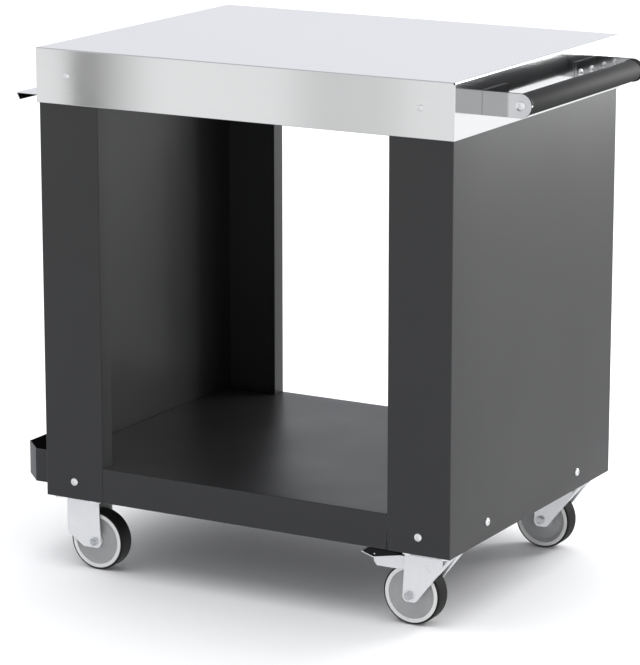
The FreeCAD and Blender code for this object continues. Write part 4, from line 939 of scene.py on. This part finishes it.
CENTRE_OUTLINE = rounded(both_sides([
    (AXLE_RADIUS + AXLE_GAP, BOSS_HALF),
    (BOSS_RADIUS, BOSS_HALF),
    (BOSS_RADIUS, WEB_HALF),
    (WELL_RADIUS, WEB_HALF),
    (WELL_RADIUS, HALF_WIDTH),
    (LIP_RADIUS, HALF_WIDTH),
    (LIP_RADIUS, HALF_WIDTH - LIP_WIDTH),
    (RIM_RADIUS, HALF_WIDTH - LIP_WIDTH),
]), radius=0.0009)
COVER_OUTLINE = rounded([
    (COVER_BORE, COVER_TOP),
    (COVER_HUB, COVER_TOP),
    (FLAT_START, COVER_DISH),
    (FLAT_END, COVER_DISH),
    (COVER_EDGE, COVER_TOP),
    (COVER_EDGE, COVER_TOP - COVER_WALL),
    (FLAT_END, COVER_DISH - COVER_WALL),
    (COVER_BORE, COVER_DISH - COVER_WALL),
], radius=0.0012, steps=5)
TYRE_OUTLINE = rounded(both_sides([
    (RIM_RADIUS, HALF_WIDTH - LIP_WIDTH),
    (LIP_RADIUS, HALF_WIDTH - LIP_WIDTH),
    (LIP_RADIUS, HALF_WIDTH),
    (LIP_RADIUS + TREAD_STEP, HALF_WIDTH),
    (TYRE_RADIUS - SHOULDER_IN, HALF_WIDTH - SHOULDER_DROP),
    (TYRE_RADIUS - CROWN_FALL, HALF_WIDTH - CROWN_START),
    (TYRE_RADIUS, CROWN_HALF),
]), radius=0.0012, steps=5)
for corner, seat in corners.items():
    axle = seat @ moved(-TRAIL, 0, -AXLE_DROP) @ Matrix.Rotation(math.pi / 2, 4, "X")
    centre = Pattern().turn(CENTRE_OUTLINE, axle, WHEEL_POINTS).build("rim_" + corner)
    stand_for(centre, "wheel_centre_" + corner)
    covers = Pattern().turn(COVER_OUTLINE, axle, WHEEL_POINTS)
    covers.turn([(r, -h) for r, h in COVER_OUTLINE], axle, WHEEL_POINTS)
    stand_for(covers.build("covers_" + corner), "wheel_covers_" + corner)
    tyre = Pattern().turn(TYRE_OUTLINE, axle, WHEEL_POINTS).build("tread_" + corner)
    stand_for(tyre, "tyre_" + corner)
print("wheel diameter:", 2 * TYRE_RADIUS)

# %% [markdown]
# ## Axles and mounting bolts
#
# An axle bolt runs through each fork, with its six-sided head on one side and a nut with a
# nylon ring on the other. Four short bolts hold each caster's plate. These are the same
# rings as the screws, with the chamfer that every real hexagon has.

# %% Make the caster hardware
AXLE_HEX, AXLE_HEAD_RISE, AXLE_NUT_HEIGHT, AXLE_REACH = 0.013, 0.005, 0.006, 0.001
PLATE_SHEET, PAN_SHEET = 0.003, 0.003
BOLT_STEP_X, BOLT_STEP_Y = 0.033, 0.027
BOLT_HEX, BOLT_HEAD_RISE, BOLT_NUT_HEIGHT, BOLT_LENGTH = 0.013, 0.0053, 0.0065, 0.016
WASHER_RISE, HEX_RISE = 0.0004, 0.0005
DISH_RIM, DISH_FLOOR, DISH_DEPTH = 0.72, 0.6, 0.0004
NYLON_RISE, NYLON_SUNK, NYLON_WIDE, NYLON_NARROW = 0.0015, 0.0018, 0.93, 0.86
DOWN = (0, 0, -1)


def add_hex_head(pattern, place, across_flats, rise):
    """A hexagon head with a washer face below and a chamfered top with a shallow dish."""
    inner = across_flats / 2 * CHAMFER_START
    rings = [ring(inner, 0), ring(inner, WASHER_RISE), hex_ring(across_flats, HEX_RISE)]
    rings += [hex_ring(across_flats, rise, inner, CHAMFER_FALL), ring(inner, rise)]
    rings += [ring(inner * DISH_RIM, rise), ring(inner * DISH_FLOOR, rise - DISH_DEPTH)]
    pattern.add(rings, place)


for corner, seat in corners.items():
    axle_front = seat @ facing(-TRAIL, -FORK_HALF, -AXLE_DROP, FRONT)
    axle_rear = seat @ facing(-TRAIL, FORK_HALF, -AXLE_DROP, REAR)
    pattern = Pattern()
    add_hex_head(pattern, axle_front, AXLE_HEX, AXLE_HEAD_RISE)
    pattern.add([ring(AXLE_RADIUS, 0), ring(AXLE_RADIUS, -2 * FORK_HALF)], axle_front)
    add_nut(pattern, axle_rear, AXLE_HEX, AXLE_NUT_HEIGHT - NYLON_RISE, AXLE_RADIUS)
    collar = rounded([
        (AXLE_RADIUS, AXLE_NUT_HEIGHT - NYLON_SUNK),
        (AXLE_HEX / 2 * NYLON_WIDE, AXLE_NUT_HEIGHT - NYLON_SUNK),
        (AXLE_HEX / 2 * NYLON_NARROW, AXLE_NUT_HEIGHT),
        (AXLE_RADIUS, AXLE_NUT_HEIGHT),
    ], radius=0.0005)
    pattern.turn(collar, axle_rear)
    add_stud(pattern, axle_rear, AXLE_RADIUS, AXLE_NUT_HEIGHT + AXLE_REACH)
    stand_for(pattern.build("axle_bolt_" + corner), "caster_axle_" + corner)

pattern = Pattern()
for seat in corners.values():
    for x in (-BOLT_STEP_X, BOLT_STEP_X):
        for y in (-BOLT_STEP_Y, BOLT_STEP_Y):
            add_hex_head(pattern, seat @ facing(x, y, -PLATE_SHEET, DOWN), BOLT_HEX, BOLT_HEAD_RISE)
            above = seat @ moved(x, y, PAN_SHEET)
            add_nut(pattern, above, BOLT_HEX, BOLT_NUT_HEIGHT, AXLE_RADIUS + THREAD_GAP)
            add_stud(pattern, seat @ moved(x, y, -PLATE_SHEET), AXLE_RADIUS, BOLT_LENGTH)
stand_for(pattern.build("mounting_bolts"), "caster_bolts")
print("mounting bolts:", 4 * len(corners))

# %% [markdown]
# ## Brake pedals
#
# The two right casters have a pressed steel pedal with a black moulded cap. The cap has a
# soft outline, a row of low ribs against slipping and a small rivet on each side. It could
# be a box with a bevel, but its top falls to both ends. Here its outline runs across the
# pedal and is drawn in a little at both sides, and each rib is one bar with round ends.

# %% Write the pieces of a pedal cap
BRAKED_CORNERS = ("front_right", "rear_right")
CREST_X, CREST_Z = -0.092, -0.0100
HEEL_RUN, HEEL_FALL, TOE_RUN, TOE_FALL = 0.040, 0.002, 0.014, 0.001
CAP_OUTLINE = [
    (-0.116, -0.01943),
    (-0.098, -0.0250),
    (CREST_X + HEEL_RUN, -0.0160),
    (CREST_X + HEEL_RUN, CREST_Z - HEEL_FALL),
    (CREST_X, CREST_Z),
    (CREST_X - TOE_RUN, CREST_Z - TOE_FALL),
    (-0.116, -0.01713),
]
CAP_HALF_WIDTH, CAP_ROUNDING, CAP_CORNER = 0.020, 0.0012, 0.0018
CAP_STEPS = ((-1, 1.0), (-0.96, 0.35), (-0.9, 0.0), (0.9, 0.0), (0.96, 0.35), (1, 1.0))
RIB_HALF_LENGTH, RIB_RADIUS, RIB_POINTS, RIB_FLATTENED = 0.0155, 0.0011, 16, 0.6
RIB_STEPS = ((-1, 0.3), (-0.97, 0.75), (-0.93, 1), (0.93, 1), (0.97, 0.75), (1, 0.3))
RIVET_STEPS, RIVET_POINTS = (0.0, 0.3, 0.6, 0.8, 0.95), 24


def add_cap_body(pattern, place):
    """The cap's outline, rounded towards both sides."""
    rings = []
    outline = rounded(CAP_OUTLINE, CAP_CORNER, steps=3)
    middle = sum(outline, Vector((0, 0))) / len(outline)
    for share, drawn_in in CAP_STEPS:
        inset = CAP_ROUNDING * drawn_in
        points = [p + (middle - p).normalized() * inset for p in outline]
        rings.append([Vector((p.x, share * CAP_HALF_WIDTH, p.y)) for p in points])
    pattern.add(rings, place)


def add_rib(pattern, place, x, z):
    """One low bar across the cap, with round ends."""
    rings = []
    for share, radius in RIB_STEPS:
        circle = ring(RIB_RADIUS * radius, 0, RIB_POINTS)
        y = share * RIB_HALF_LENGTH
        rings.append([Vector((x + p.x, y, z + RIB_FLATTENED * p.y)) for p in circle])
    pattern.add(rings, place)


def add_dome(pattern, place, radius, rise):
    """A low round rivet head."""
    rings = []
    for share in RIVET_STEPS:
        rings.append(ring(radius * math.sqrt(1 - share ** 2), rise * share, RIVET_POINTS))
    pattern.add(rings, place)


print("casters with a brake:", len(BRAKED_CORNERS))

# %% [markdown]
# ## The caps in place
#
# The top of a cap falls gently towards the wheel and more steeply towards the toe, so each
# rib is set at the height of the top just where it lies. The rivets are bright zinc in
# black plastic, so they are a piece of their own that moves with the pedal.

# %% Make the pedal caps
RIB_COUNT, RIB_PITCH, RIB_FIRST, RIB_SUNK = 6, 0.0045, -0.0975, 0.0001
RIVET_X, RIVET_Z, RIVET_RADIUS, RIVET_RISE = -0.0955, -0.0192, 0.0013, 0.0006


def top_height(x):
    """The height of the cap's top, which falls from its crest to the heel and to the toe."""
    if x > CREST_X:
        return CREST_Z - HEEL_FALL * (x - CREST_X) / HEEL_RUN
    return CREST_Z - TOE_FALL * (CREST_X - x) / TOE_RUN


for corner in BRAKED_CORNERS:
    seat = corners[corner]
    pattern = Pattern()
    add_cap_body(pattern, seat)
    for step in range(RIB_COUNT):
        x = RIB_FIRST + step * RIB_PITCH
        add_rib(pattern, seat, x, top_height(x) - RIB_SUNK)
    stand_for(pattern.build("pedal_tread_" + corner), "pedal_cap_" + corner)
    rivets = Pattern()
    for y, way in ((-CAP_HALF_WIDTH, FRONT), (CAP_HALF_WIDTH, REAR)):
        add_dome(rivets, seat @ facing(RIVET_X, y, RIVET_Z, way), RIVET_RADIUS, RIVET_RISE)
    made = rivets.build("pedal_rivets_" + corner)
    made.data.materials.append(screw_zinc.material)
    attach(made, "pedal_" + corner)
print("ribs on each cap:", RIB_COUNT)

# %% [markdown]
# ## Pedal pins
#
# A steel pin runs through both cheeks of the fork, and the pedal turns on it. Its ends are
# riveted over, which leaves a low round head on each side. The same domes as on the cap do
# for that, with a plain bar between them.

# %% Make the pedal pins
PIN_X, PIN_DROP, PIN_RADIUS, PIN_HEAD, PIN_HEAD_RISE = 0.004, 0.028, 0.003, 0.0055, 0.0009
for corner in BRAKED_CORNERS:
    seat = corners[corner]
    pattern = Pattern()
    for y, way in ((-FORK_HALF, FRONT), (FORK_HALF, REAR)):
        add_dome(pattern, seat @ facing(PIN_X, y, -PIN_DROP, way), PIN_HEAD, PIN_HEAD_RISE)
    through = seat @ facing(PIN_X, -FORK_HALF, -PIN_DROP, REAR)
    pattern.add([ring(PIN_RADIUS, 0), ring(PIN_RADIUS, 2 * FORK_HALF)], through)
    stand_for(pattern.build("pedal_rivet_pin_" + corner), "pedal_pin_" + corner)
print("pedal pins:", len(BRAKED_CORNERS))
